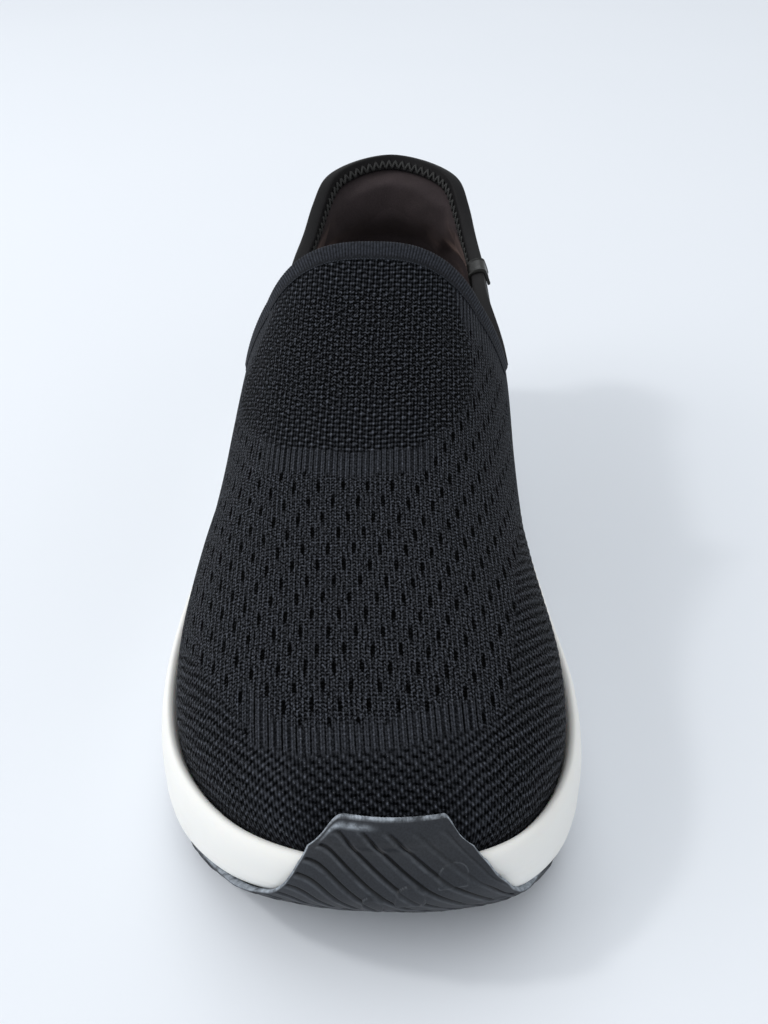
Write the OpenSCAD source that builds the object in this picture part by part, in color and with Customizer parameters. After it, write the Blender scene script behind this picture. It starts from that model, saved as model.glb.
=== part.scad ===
// Slip-on knit running shoe, right foot, without laces.
// The toe points to -Y, the heel to +Y, and the inner side of the foot is +X.
// Stations along the shoe are distances back from the tip of the midsole.
// The upper is a stack of thin layers on one surface, each at its own depth below the knit's face.

/* [Length and width] */
// Length of the midsole from toe tip to heel
sole_length = 285; // [270:1:300]
// Width of the midsole across the ball of the foot
ball_width = 109.4; // [102:0.2:116]

/* [Sole] */
// Thickness of the outsole rubber
rubber = 3.5; // [3:0.1:4.5]
// Depth of the tread grooves
groove_depth = 1.8; // [1:0.1:2.4]
// Width of the tread grooves
groove_width = 2.4; // [1.5:0.1:4]
// Distance between tread grooves
groove_pitch = 15; // [10:0.5:24]
// Radius of the curved edges at the waist of the tread
waist_radius = 34; // [28:1:38]
// Thickness of the strobel board
board = 1.3; // [0.8:0.1:2]
// Thickness of the insole foam
insole_foam_depth = 4.2; // [3:0.1:5]
// Thickness of the insole cover
insole_cover_depth = 0.75; // [0.5:0.05:1.2]

/* [Upper] */
// Thickness of the knit
knit = 1.6; // [1:0.1:2]
// Thickness of the lining
lining = 0.8; // [0.5:0.1:1.2]
// Thickness of the toe puff
puff = 0.55; // [0.4:0.05:0.8]
// Thickness of the heel counter
counter = 1.2; // [0.8:0.1:1.6]
// Thickness of the foam along the sides of the topline
side_foam = 3.2; // [2:0.1:4]
// Thickness of the padded roll inside the heel
heel_foam = 6; // [4:0.1:7]
// Height of the front of the collar
collar_height = 111; // [104:0.5:118]
// Height of the topline at its lowest, beside the collar
topline_low = 72; // [68:0.5:78]
// Height of the topline at the heel
heel_height = 104.5; // [98:0.5:110]
// Thickness of the binding and of the collar band
binding = 0.9; // [0.6:0.1:1.2]
// Depth of the binding below the topline
binding_drop = 3.2; // [2.5:0.1:3.4]

/* [Hidden] */

gap = 0.1;                          // glue line between layers of the upper
long = sole_length / 285;           // stretch of the stations
wide = ball_width / 109.4;          // stretch across
wrap = 2;                           // rubber in front of the toe tip
mid_y = (sole_length - wrap) / 2;   // station of the middle of the whole shoe
collar_t = 7;                       // outline parameter at the front of the collar
heel_t = 12;                        // outline parameter at the heel
feather = 4.5;                      // inset of the line where the knit meets the rim
feather_drop = 2;                   // how far that line lies below the rim's top
cup = 6;                            // inset of the knit at the footbed
half_heel = 37;                     // half width over which the heel rounds off
board_inset = 10.2;
insole_inset = 10.6;

// Outline of the midsole: station, outer side, inner side
STATIONS = [[3.5, -15.5, 26.5], [14, -33, 41.5], [35, -47.5, 52], [64, -54, 54.5], [98, -54, 50],
    [131, -49.5, 45.5], [163, -45.5, 43], [197, -43, 42], [230, -41, 41], [257, -36.5, 36.5],
    [275, -26, 26]];
TIP = [6, 0];
HEEL = [-0.5, 285];
LOOP = concat([TIP], [for (q = STATIONS) [q[1], q[0]]], [HEEL],
    [for (i = [len(STATIONS) - 1:-1:0]) [STATIONS[i][2], STATIONS[i][0]]]);

// Curves along the shoe: station and height
UNDERSIDE = [[0, rubber + 15.5], [14, rubber + 8.8], [32, rubber + 3], [58, rubber],
    [240, rubber], [262, rubber + 1.6], [285, rubber + 7]];
RIM = [[0, 31], [30, 29], [60, 29], [110, 32], [163, 38], [210, 43], [250, 46], [285, 48]];
FOOTBED = [[0, 25], [20, 20.5], [50, 17.5], [95, 17.5], [150, 21.5], [210, 26], [250, 28],
    [285, 30]];
RIDGE = [[4.5, 29.5], [7, 36], [11, 41], [18, 45.5], [30, 50], [46, 54.5], [66, 60], [90, 68],
    [115, 79.5], [140, 95], [163, collar_height]];
TOPLINE = [[163, topline_low], [175, topline_low + 2.5], [198, topline_low + 8],
    [216, topline_low + 11], [235, 86.5], [250, 91], [268, heel_height - 5.5],
    [285, heel_height]];
// Height of the whole vault that the rear walls are cut from, above the feather line
VAULT = [[163, collar_height - 36], [190, 88], [215, 105], [285, 120]];
// How square the cross-section is, and how far its sides bow out
SQUARE = [[0, 0.95], [20, 0.85], [60, 0.78], [110, 0.82], [163, 0.8], [285, 0.8]];
outer_square = 0.11;                // how much squarer the outer side is near the collar
BOW = [[110, 0], [135, 0.04], [163, 0.07], [220, 0.02], [285, 0]];
// How far the rear walls lean in at a height above the feather line
SIDE_LEAN = [[0, 0], [16, -1], [32, 1.5], [46, 6], [60, 7]];
BACK_LEAN = [[0, 0], [16, -2.2], [34, 2.6], [48, 0.6], [58, -2.6]];

// Rows of the grid, as parts of the way from the feather line to the topline
LOW_ROWS = [0, 0.2, 0.4, 0.6, 0.78, 0.9, 1];
low = len(LOW_ROWS);                // row of the topline
ridge = low + 5;                    // row of the instep ridge
rows = 2 * ridge;
cols = 14;                          // columns from the toe tip to the collar
back = 14;                          // columns from the collar to the heel
around = 2 * back;                  // columns from collar to collar round the heel

// A smooth curve without overshoot through points p, at x
function span(p, x, i = 0) = (i >= len(p) - 2 || x < p[i + 1][0]) ? i : span(p, x, i + 1);
function slope(p, i) = (p[i + 1][1] - p[i][1]) / (p[i + 1][0] - p[i][0]);
function tangent(p, i) =
    i == 0 ? slope(p, 0)
    : i == len(p) - 1 ? slope(p, i - 1)
    : let(a = slope(p, i - 1), b = slope(p, i)) a * b > 0 ? 2 * a * b / (a + b) : 0;
function curve(p, x) =
    let(
        c = min(max(x, p[0][0]), p[len(p) - 1][0]),
        i = span(p, c),
        h = p[i + 1][0] - p[i][0],
        f = (c - p[i][0]) / h,
        g = f * f * (3 - 2 * f))
    p[i][1] * (1 - g) + p[i + 1][1] * g
    + h * (tangent(p, i) * f * (1 - f) * (1 - f) - tangent(p, i + 1) * f * f * (1 - f));
function smooth(x) = let(c = min(max(x, 0), 1)) c * c * (3 - 2 * c);

// The outline runs from the tip along the outer side to the heel and back, t = 0 to 24
function control(i) = let(q = LOOP[(i + 2 * len(LOOP)) % len(LOOP)]) [q[0] * wide, q[1] * long];
function outline(t) =
    let(i = floor(t), f = t - i, a = control(i - 1), b = control(i), c = control(i + 1),
        d = control(i + 2))
    0.5 * (2 * b + (c - a) * f + (2 * a - 5 * b + 4 * c - d) * f * f
    + (3 * b - a - 3 * c + d) * f * f * f);
function inset(t, d) =
    let(q = outline(t + 0.01) - outline(t - 0.01))
    outline(t) + [q[1], -q[0]] * d / norm(q);

function underside(y) = curve(UNDERSIDE, y / long);
function rim(y) = curve(RIM, y / long);
function footbed(y) = curve(FOOTBED, y / long);

function squareness(s, side) =
    curve(SQUARE, s)
    - (side < 0 ? outer_square * smooth((s - 110) / 45) * (1 - smooth((s - 195) / 60)) : 0);

// A point of the knit's face: side is -1 or 1, and v runs from the feather line upwards
function face_point(t, side, v) =
    let(
        b = inset(-side * t, feather),
        o = inset(side * t, feather),
        y = (b[1] + o[1]) / 2,
        s = y / long,
        mid = (b[0] + o[0]) / 2,
        half = abs(b[0] - o[0]) / 2,
        base = rim(y) - feather_drop,
        e = squareness(s, side),
        closed = t <= collar_t,
        h = closed ? max(curve(RIDGE, s) - base, 0.3) : curve(VAULT, s),
        top = closed ? 90 : asin((min(curve(TOPLINE, s) - base, h) / h) ^ (1 / e)),
        up = h * sin(v * top) ^ e,
        bow = curve(BOW, s) * sin(180 * min(up / (0.75 * h), 1)),
        vault = max(cos(v * top), 0) ^ e + bow,
        w = closed ? 0 : sqrt(max(0, 1 - (half / half_heel) ^ 2)) * smooth((s - 215) / 40),
        lean = curve(SIDE_LEAN, up) * (1 - w * w) + curve(BACK_LEAN, up) * w * w,
        rear = smooth((s - 163) / 45),
        r = vault * (1 - rear) + (1 - lean / half_heel) * rear)
    [mid + side * half * r, closed ? y + (b[1] - y) * r : b[1] - w * rear * lean, base + up];
function cup_point(t, side) =
    let(p = inset(-side * t, cup)) [p[0], p[1], footbed(p[1]) + board + 0.2];

// Grid of the closed front of the upper, and grid of the walls behind the collar
function low_part(side) = let(b = rim(163 * long) - feather_drop)
    asin(((topline_low - b) / (collar_height - b)) ^ (1 / squareness(163, side))) / 90;
function row_part(j, side) =
    j <= low ? LOW_ROWS[j - 1] * low_part(side)
    : low_part(side) + (1 - low_part(side)) * (j - low) / (ridge - low);
function front_t(i) = collar_t * (i / cols) ^ 1.35;
function rear_t(k) = collar_t + (heel_t - collar_t) * (back - abs(k - back)) / back;
function rear_side(k) = k <= back ? -1 : 1;
FRONT = [for (i = [0:cols]) [for (j = [0:rows])
    let(t = front_t(i), side = j <= ridge ? -1 : 1, n = min(j, rows - j))
    n == 0 ? cup_point(t, side) : face_point(t, side, row_part(n, side))]];
REAR = [for (k = [0:around]) [for (j = [0:low])
    k == 0 ? FRONT[cols][j]
    : k == around ? FRONT[cols][rows - j]
    : j == 0 ? cup_point(rear_t(k), rear_side(k))
    : face_point(rear_t(k), rear_side(k), LOW_ROWS[j - 1])]];

// Outward normals on both grids
function unit(v) = v / norm(v);
function across(g, i, j) = g[i][min(j + 1, len(g[i]) - 1)] - g[i][max(j - 1, 0)];
function along(g, i, j) = g[min(i + 1, len(g) - 1)][j] - g[max(i - 1, 0)][j];
function behind(j) =
    j <= low ? REAR[1][j] : j >= rows - low ? REAR[around - 1][rows - j] : FRONT[cols][j];
function front_normal(i, j) =
    i == 0 ? unit([0, -0.9, 0.3])
    : i == cols ? unit(cross(across(FRONT, i, j), behind(j) - FRONT[cols - 1][j]))
    : unit(cross(across(FRONT, i, j), along(FRONT, i, j)));
function rear_normal(k, j) =
    k == 0 ? front_normal(cols, j)
    : k == around ? front_normal(cols, rows - j)
    : unit(cross(across(REAR, k, j), along(REAR, k, j)));
function front_at(d, i, j) = FRONT[i][j] - front_normal(i, j) * d;
function rear_at(d, k, j) = REAR[k][j] - rear_normal(k, j) * d;

// Depths of the layers
puff_cols = 6;
function puff_here(i) = i <= puff_cols ? puff + gap : 0;
function front_lining(i) = knit + gap + puff_here(i);
function from_heel(k) = abs(k - back);
counter_reach = 9;
counter_rows = 3;
function counter_here(k) = min(max((counter_reach + 2 - from_heel(k)) / 2, 0), 1);
function stack(k, j) = knit + gap + (j <= counter_rows ? (counter + 0.15) * counter_here(k) : 0);
foam_end = 12;
pillow_reach = 4;
function foam_depth(k) =
    side_foam * smooth((foam_end + 1 - from_heel(k)) / 3)
    + (heel_foam - side_foam) * (1 + cos(180 * min(from_heel(k) / pillow_reach, 1))) / 2;
FOAM_ROWS = [0, 0, 0, 0.12, 1, 1, 0.12, 0];
function swell(k, j) =
    from_heel(k) > foam_end || FOAM_ROWS[j] == 0 ? 0 : max(foam_depth(k) * FOAM_ROWS[j], 0.5);
function rear_lining(k, j) = stack(k, j) + swell(k, j);

// A closed shell: quads and edges index the outer points, and the inner points follow them.
// An edge marked "start" is split the other way, so that two slabs meet on the same triangles.
function thin(f) = f[0] != f[1] && f[1] != f[2] && f[2] != f[0];
module shell(outer, inner, quads, edges) {
    n = len(outer);
    polyhedron(concat(outer, inner), [for (f = [
        for (q = quads) each [[q[0], q[1], q[2]], [q[0], q[2], q[3]],
            [n + q[2], n + q[1], n + q[0]], [n + q[3], n + q[2], n + q[0]]],
        for (e = edges) each e[2] == "start"
            ? [[e[0], e[1], n + e[0]], [e[1], n + e[1], n + e[0]]]
            : [[e[0], e[1], n + e[1]], [e[0], n + e[1], n + e[0]]]]) if (thin(f)) f]);
}
function flat(g) = [for (r = g) each r];

// A shell over one rectangular grid; with pole set, its first column shrinks to the toe tip
module slab(a, b, pole = false) {
    ni = len(a) - 1;
    nj = len(a[0]) - 1;
    function id(i, j) = pole && i == 0 ? ((j == 0 || j == nj) ? 0 : 1) : i * (nj + 1) + j;
    shell(flat(a), flat(b),
        [for (i = [0:ni - 1]) for (j = [0:nj - 1])
            [id(i, j), id(i + 1, j), id(i + 1, j + 1), id(i, j + 1)]],
        [for (i = [0:ni - 1]) each [[id(i + 1, 0), id(i, 0)], [id(i, nj), id(i + 1, nj)]],
            for (j = [0:nj - 1]) each [[id(ni, j + 1), id(ni, j)],
                if (!pole) [id(0, j), id(0, j + 1), "start"]]]);
}

// A closed solid from rings of points stacked from the bottom up, closed across the shoe
RING_T = [for (i = [0:cols]) front_t(i), for (k = [1:back]) rear_t(k),
    for (k = [back - 1:-1:1]) 24 - rear_t(k), for (i = [cols:-1:1]) 24 - front_t(i)];
module stacked(rings) {
    n = len(RING_T);
    top = (len(rings) - 1) * n;
    polyhedron(flat(rings), [for (f = [
        for (r = [0:len(rings) - 2]) for (i = [0:n - 1])
            let(a = r * n + i, b = r * n + (i + 1) % n) each [[a, b, b + n], [a, b + n, a + n]],
        for (i = [0:n / 2 - 1])
            let(a = i, b = i + 1, c = n - i - 1, d = (n - i) % n)
            each [[c, b, a], [d, c, a],
                [top + a, top + b, top + c], [top + a, top + c, top + d]]]) if (thin(f)) f]);
}
function wall_ring(d, part, lift = 0) = [for (t = RING_T) let(p = inset(t, d))
    [p[0], p[1], underside(p[1]) * (1 - part) + rim(p[1]) * part + lift]];
function bed_ring(d, lift) = [for (t = RING_T) let(p = inset(t, d))
    [p[0], p[1], footbed(p[1]) + lift]];

// A tube through rings of points; closed joins the last ring to the first
module tube(rings, closed = false) {
    m = len(rings[0]);
    n = len(rings);
    polyhedron(flat(rings), concat(
        [for (i = [0:n - (closed ? 1 : 2)]) for (j = [0:m - 1])
            let(a = i * m + j, b = i * m + (j + 1) % m, c = ((i + 1) % n) * m + (j + 1) % m,
                d = ((i + 1) % n) * m + j) each [[a, b, c], [a, c, d]]],
        closed ? [] : [[for (j = [m - 1:-1:0]) j], [for (j = [0:m - 1]) (n - 1) * m + j]]));
}

// Channels that fold over an edge: each station has a point, an outward and an upward vector
wall = knit + gap + lining;         // thickness of the upper where its edges are bound
fold_gap = 0.14;                    // slack inside a folded edge
SLEEVE_LATERAL = [2.9, 3.55];        // columns of the rear grid that each sleeve covers
SLEEVE_MEDIAL = [around - 4.85, around - 4.15];
function rear_edge(k) =
    let(i = floor(min(k, around - 1)), f = k - i)
    [REAR[i][low] * (1 - f) + REAR[i + 1][low] * f,
        unit(rear_normal(i, low) * (1 - f) + rear_normal(i + 1, low) * f),
        unit((REAR[i][low] - REAR[i][low - 1]) * (1 - f)
            + (REAR[i + 1][low] - REAR[i + 1][low - 1]) * f)];
function front_edge(j) =
    [FRONT[cols][j], front_normal(cols, j), unit(FRONT[cols][j] - FRONT[cols - 1][j])];
function off_edge(e, n, u) = e[0] + e[1] * n + e[2] * u;
splay = 0.35;                       // how far the inner flange leans off the lining
function fold(e, d, drop, inner_drop) =
    let(c = min(d, 0.3))
    [off_edge(e, d, -drop), off_edge(e, d, 0.5 * d), off_edge(e, c, d + 0.1),
        off_edge(e, -wall - c, d + 0.1), off_edge(e, -wall - d, 0.5 * d),
        off_edge(e, -wall - d - splay, -inner_drop)];
module channel(edge, inside, outside, drop, inner_drop) {
    slab([for (e = edge) fold(e, outside, drop, inner_drop)],
        [for (e = edge) fold(e, inside, drop, inner_drop)]);
}

// Height of the knit's face above a point of the plan, near the toe
function find_t(y, a = 0, b = 3, n = 16) =
    let(m = (a + b) / 2, s = (inset(m, feather)[1] + inset(-m, feather)[1]) / 2)
    n == 0 ? m : s < y ? find_t(y, m, b, n - 1) : find_t(y, a, m, n - 1);
function knit_top(x, y) =
    let(
        t = find_t(y),
        b = inset(t, feather),
        o = inset(-t, feather),
        base = rim(y) - feather_drop,
        e = curve(SQUARE, y / long),
        r = min(abs(2 * x - b[0] - o[0]) / max(abs(b[0] - o[0]), 0.1), 1))
    base + max(curve(RIDGE, y / long) - base, 0.3) * (1 - r ^ (2 / e)) ^ (e / 2);

// The rubber toe wrap: half width, then inset and height part of the outer and inner skins
WRAP_WALL = [[36, 7, -0.2, 7, -0.06], [35, 2.4, -0.14, 4.2, -0.04], [30, -0.4, 0.2, 1, 0.2],
    [25, -2, 0.5, -0.4, 0.5], [22, -1.9, 0.75, -0.2, 0.75], [19.5, -0.7, 0.98, 1, 0.97]];
// Above the rim: half width, inset and lift above the rim of the outer and inner skins
WRAP_RIM = [[18.5, 0.6, 1.9, 1.7, 0.3], [18, 2.2, 3.6, 4.1, 0.7]];
// On the knit: half width and inset, at a set height above the knit
WRAP_KNIT = [[17.4, 5.8], [16.6, 8.4]];
wrap_cols = 12;
tip_speed = 21;                     // length of the outline per unit of t, at the tip
function wrap_t(half, i) = -0.09 + half * (2 * i / wrap_cols - 1) / tip_speed;
function on_wall(t, d, part) = let(p = inset(t, d))
    [p[0], p[1], underside(p[1]) * (1 - part) + rim(p[1]) * part];
function on_rim(t, d, lift) = let(p = inset(t, d)) [p[0], p[1], rim(p[1]) + lift];
function on_knit(t, d, out) =
    let(p = inset(t, d), q = inset(t, d - out)) [q[0], q[1], knit_top(p[0], p[1]) + 0.5 + out];
function wrap_skin(i, outer) = [
    for (w = WRAP_WALL) on_wall(wrap_t(w[0], i), outer ? w[1] : w[3], outer ? w[2] : w[4]),
    for (w = WRAP_RIM) on_rim(wrap_t(w[0], i), outer ? w[1] : w[3], outer ? w[2] : w[4]),
    for (w = WRAP_KNIT) on_knit(wrap_t(w[0], i), w[1], outer ? 1.2 : 0)];
module toe_wrap() {
    slab([for (i = [wrap_cols:-1:0]) wrap_skin(wrap_cols - i, true)],
        [for (i = [wrap_cols:-1:0]) wrap_skin(wrap_cols - i, false)]);
}

// A slab of rubber under the midsole between two stations, with a flat tread at z = 0
edge_inset = 3.2;
waist = 192;                        // station of the middle of the waist
module rubber_slab(from, to) {
    n = 24;
    stations = [for (i = [0:n]) (from + (to - from) * i / n) * long];
    intersection() {
        rotate([90, 0, 90])
            translate([0, 0, -80])
                linear_extrude(160)
                    polygon(concat([for (y = stations) [y, underside(y) - gap]],
                        [for (i = [n:-1:0])
                            [stations[i], max(underside(stations[i]) - rubber, 0)]]));
        translate([0, 0, -1])
            linear_extrude(40)
                polygon([for (t = RING_T) inset(t, edge_inset)]);
    }
}
module grooves(from, to, angle) {
    n = floor((to - from) / groove_pitch);
    for (i = [0:n])
        translate([0, (from + i * groove_pitch) * long, groove_depth / 2 - 1])
            rotate([0, 0, angle])
                cube([160, groove_width, groove_depth + 2], center = true);
}

module placed() {
    translate([0, -mid_y, 0])
        children();
}

module outsole_forefoot() {
    color([0.13, 0.14, 0.16])
        placed()
            union() {
                difference() {
                    rubber_slab(4, 178);
                    grooves(40, 160, -35);
                    translate([0, waist * long, -1])
                        cylinder(r = waist_radius, h = 20, $fn = 64);
                }
                toe_wrap();
            }
}
module outsole_heel() {
    color([0.13, 0.14, 0.16])
        placed()
            difference() {
                rubber_slab(206, 283);
                grooves(212, 268, 35);
                translate([0, waist * long, -1])
                    cylinder(r = waist_radius, h = 20, $fn = 64);
            }
}
module midsole() {
    color([0.93, 0.93, 0.91])
        placed()
            stacked([wall_ring(4.5, 0), wall_ring(1.4, 0.22), wall_ring(0, 0.62),
                wall_ring(0.6, 0.88), wall_ring(1.9, 1), wall_ring(3.4, 1, -0.2),
                wall_ring(feather - 0.12, 1, -feather_drop), bed_ring(cup - 0.12, 0)]);
}
module strobel_board() {
    color([0.75, 0.74, 0.7])
        placed()
            stacked([bed_ring(board_inset, gap), bed_ring(board_inset, gap + board)]);
}
module strobel_seam() {
    r = 0.6;
    sides = 6;
    color([0.85, 0.85, 0.82])
        placed()
            tube([for (t = RING_T)
                let(p = inset(t, board_inset + 0.5), n = unit(inset(t, 0) - inset(t, 1)))
                [for (j = [0:sides - 1]) let(a = 360 * j / sides)
                    [p[0] + n[0] * r * cos(a), p[1] + n[1] * r * cos(a),
                        footbed(p[1]) + gap + 0.75 * board + r * sin(a)]]], true);
}
module knit_upper() {
    n = (cols + 1) * (rows + 1);
    function front_id(i, j) = i == 0 ? (j == 0 || j == rows ? 0 : 1) : i * (rows + 1) + j;
    function rear_id(k, j) =
        k == 0 ? front_id(cols, j) : k == around ? front_id(cols, rows - j) : n + k * (low + 1) + j;
    function skin(d) = concat([for (i = [0:cols]) for (j = [0:rows]) front_at(d, i, j)],
        [for (k = [0:around]) for (j = [0:low]) rear_at(d, k, j)]);
    color([0.07, 0.08, 0.1])
        placed()
            shell(skin(0), skin(knit),
                [for (i = [0:cols - 1]) for (j = [0:rows - 1])
                    [front_id(i, j), front_id(i + 1, j), front_id(i + 1, j + 1), front_id(i, j + 1)],
                    for (k = [0:around - 1]) for (j = [0:low - 1])
                    [rear_id(k, j), rear_id(k + 1, j), rear_id(k + 1, j + 1), rear_id(k, j + 1)]],
                [for (i = [0:cols - 1]) each [[front_id(i + 1, 0), front_id(i, 0)],
                    [front_id(i, rows), front_id(i + 1, rows)]],
                    for (k = [0:around - 1]) each [[rear_id(k + 1, 0), rear_id(k, 0)],
                        [rear_id(k, low), rear_id(k + 1, low)]],
                    for (j = [low:rows - low - 1]) [front_id(cols, j + 1), front_id(cols, j)]]);
}
module toe_puff() {
    color([0.5, 0.5, 0.48])
        placed()
            slab([for (i = [0:puff_cols]) [for (j = [0:rows]) front_at(knit + gap, i, j)]],
                [for (i = [0:puff_cols]) [for (j = [0:rows]) front_at(knit + gap + puff, i, j)]],
                true);
}
module vamp_lining() {
    color([0.12, 0.1, 0.1])
        placed()
            slab([for (i = [0:cols]) [for (j = [0:rows]) front_at(front_lining(i), i, j)]],
                [for (i = [0:cols]) [for (j = [0:rows]) front_at(front_lining(i) + lining, i, j)]],
                true);
}
module collar_band() {
    color([0.16, 0.18, 0.22])
        placed()
            channel([for (j = [rows - low:-1:low]) front_edge(j)], fold_gap, fold_gap + binding, 4, 4);
}
module rear_layer(from, to, low_row, high_row) {
    slab([for (k = [from:to]) [for (j = [low_row:high_row]) rear_at(stack(k, j) + 0.05, k, j)]],
        [for (k = [from:to]) [for (j = [low_row:high_row])
            rear_at(rear_lining(k, j) - gap, k, j)]]);
}
module heel_counter() {
    range = [back - counter_reach:back + counter_reach];
    color([0.82, 0.8, 0.74])
        placed()
            slab([for (k = range) [for (j = [0:counter_rows]) rear_at(knit + gap, k, j)]],
                [for (k = range) [for (j = [0:counter_rows]) rear_at(knit + gap + counter, k, j)]]);
}
module heel_lining() {
    color([0.11, 0.09, 0.09])
        placed()
            slab([for (k = [0:around]) [for (j = [0:low]) rear_at(rear_lining(k, j), k, j)]],
                [for (k = [0:around]) [for (j = [0:low]) rear_at(rear_lining(k, j) + lining, k, j)]]);
}
module collar_foam_lateral() {
    color([0.3, 0.3, 0.32])
        placed()
            rear_layer(back - foam_end, back - pillow_reach, 3, 6);
}
module heel_pillow() {
    color([0.26, 0.26, 0.28])
        placed()
            rear_layer(back - pillow_reach, back + pillow_reach, 3, 6);
}
module collar_foam_medial() {
    color([0.3, 0.3, 0.32])
        placed()
            rear_layer(back + pillow_reach, back + foam_end, 3, 6);
}
module collar_binding() {
    color([0.05, 0.05, 0.06])
        placed()
            channel([rear_edge(0.4), for (k = [1:around - 1]) rear_edge(k), rear_edge(around - 0.4)],
                fold_gap, fold_gap + binding, binding_drop, 1.6);
}
module stitch_run(from, to) {
    r = 0.3;
    n = round((to - from) * 3);
    tube([for (i = [0:n])
        let(e = rear_edge(from + (to - from) * i / n),
            p = off_edge(e, -wall - fold_gap - binding - r - splay - 0.05, i % 2 == 0 ? 0 : -1.2))
        [for (j = [3:-1:0]) p + e[1] * r * cos(90 * j) + e[2] * r * sin(90 * j)]]);
}
module binding_stitch() {
    color([0.12, 0.12, 0.13])
        placed() {
            stitch_run(1, SLEEVE_LATERAL[0] - 0.2);
            stitch_run(SLEEVE_LATERAL[1] + 0.2, SLEEVE_MEDIAL[0] - 0.2);
            stitch_run(SLEEVE_MEDIAL[1] + 0.2, around - 1);
        }
}
module sleeve(span) {
    color([0.03, 0.03, 0.035])
        placed()
            channel([for (f = [0, 0.5, 1]) rear_edge(span[0] + (span[1] - span[0]) * f)],
                2 * fold_gap + binding, fold_gap + 2 * binding, 4.4, 1.7);
}
module sleeve_lateral() {
    sleeve(SLEEVE_LATERAL);
}
module sleeve_medial() {
    sleeve(SLEEVE_MEDIAL);
}
insole_rest = gap + board + 0.55;
module insole_foam() {
    color([0.2, 0.2, 0.22])
        placed()
            stacked([bed_ring(insole_inset + 0.8, insole_rest), bed_ring(insole_inset, insole_rest + 1.4),
                bed_ring(insole_inset, insole_rest + insole_foam_depth)]);
}
module insole_cover() {
    base = insole_rest + insole_foam_depth + 0.05;
    color([0.1, 0.1, 0.11])
        placed()
            stacked([bed_ring(insole_inset, base), bed_ring(insole_inset, base + insole_cover_depth)]);
}

outsole_forefoot();
outsole_heel();
midsole();
strobel_board();
strobel_seam();
knit_upper();
toe_puff();
vamp_lining();
collar_band();
heel_counter();
heel_lining();
collar_foam_lateral();
heel_pillow();
collar_foam_medial();
collar_binding();
binding_stitch();
sleeve_lateral();
sleeve_medial();
insole_foam();
insole_cover();
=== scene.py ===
"""Looks of a slip-on knit running shoe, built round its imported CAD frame.

Shapes are worked out in millimetres: x across, station s back from the midsole's toe tip, z up.
to_row() turns them into the frame's metres. The toe points to -Y and the inner side is +X.
"""

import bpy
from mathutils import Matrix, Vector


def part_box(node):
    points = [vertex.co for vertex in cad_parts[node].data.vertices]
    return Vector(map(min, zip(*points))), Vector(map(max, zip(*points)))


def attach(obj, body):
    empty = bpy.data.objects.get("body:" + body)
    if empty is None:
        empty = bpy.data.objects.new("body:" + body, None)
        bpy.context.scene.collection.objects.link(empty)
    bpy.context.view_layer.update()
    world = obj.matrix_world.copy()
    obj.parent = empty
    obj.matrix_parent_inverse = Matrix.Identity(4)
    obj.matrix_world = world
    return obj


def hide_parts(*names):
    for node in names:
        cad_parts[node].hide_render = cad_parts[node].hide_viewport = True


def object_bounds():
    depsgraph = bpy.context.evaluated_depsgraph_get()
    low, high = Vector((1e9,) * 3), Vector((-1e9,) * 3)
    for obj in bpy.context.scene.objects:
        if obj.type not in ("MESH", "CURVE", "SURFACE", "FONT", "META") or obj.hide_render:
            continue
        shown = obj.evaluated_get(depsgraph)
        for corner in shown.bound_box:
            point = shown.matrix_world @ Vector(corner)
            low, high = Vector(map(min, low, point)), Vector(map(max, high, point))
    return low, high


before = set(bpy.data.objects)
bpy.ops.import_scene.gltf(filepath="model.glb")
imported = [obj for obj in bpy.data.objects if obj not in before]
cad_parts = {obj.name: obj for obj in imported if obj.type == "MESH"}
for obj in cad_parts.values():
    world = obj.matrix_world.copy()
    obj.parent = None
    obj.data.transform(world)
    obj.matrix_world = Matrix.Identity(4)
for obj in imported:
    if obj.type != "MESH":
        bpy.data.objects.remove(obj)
CAD_BOX = [list(corner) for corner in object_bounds()]

import math

import bmesh
import bpy
import numpy as np
from mathutils import Vector

# ---------------------------------------------------------------- sizes and outlines

SOLE_LOW, SOLE_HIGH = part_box("midsole")
LONG = (SOLE_HIGH.y - SOLE_LOW.y) * 1000 / 285      # stretch of the stations
WIDE = (SOLE_HIGH.x - SOLE_LOW.x) * 1000 / 109.4    # stretch across
TIP_Y = SOLE_LOW.y * 1000                           # row frame's y of station 0

# The layers of the upper, as depths and thicknesses
KNIT = 1.6
GAP = 0.1
PUFF = 0.55
LINING = 0.8
COUNTER = 1.35
WALL = KNIT + GAP + LINING
SIDE_FOAM = 3.2
HEEL_FOAM = 6.0
RUBBER = 3.5
FEATHER = 4.5
FEATHER_DROP = 2.0
HALF_HEEL = 37.0
COLLAR_T = 7                    # t of the outline beside the collar's edge, and at the heel
HEEL_T = 12
COLLAR_S = 163                  # station of the collar's edge
COLLAR_LOW, COLLAR_HIGH = 72, 111    # heights of its ends and its middle
K_HEEL, K_END = 14, 28          # k runs round the rear walls from collar to collar

# Outline of the midsole: station, outer side, inner side
STATIONS = [(3.5, -15.5, 26.5), (14, -33, 41.5), (35, -47.5, 52), (64, -54, 54.5), (98, -54, 50),
            (131, -49.5, 45.5), (163, -45.5, 43), (197, -43, 42), (230, -41, 41),
            (257, -36.5, 36.5), (275, -26, 26)]
LOOP = np.array([(6, 0)] + [(q[1], q[0]) for q in STATIONS] + [(-0.5, 285)]
                + [(q[2], q[0]) for q in STATIONS[::-1]]) * [WIDE, LONG]

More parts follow.
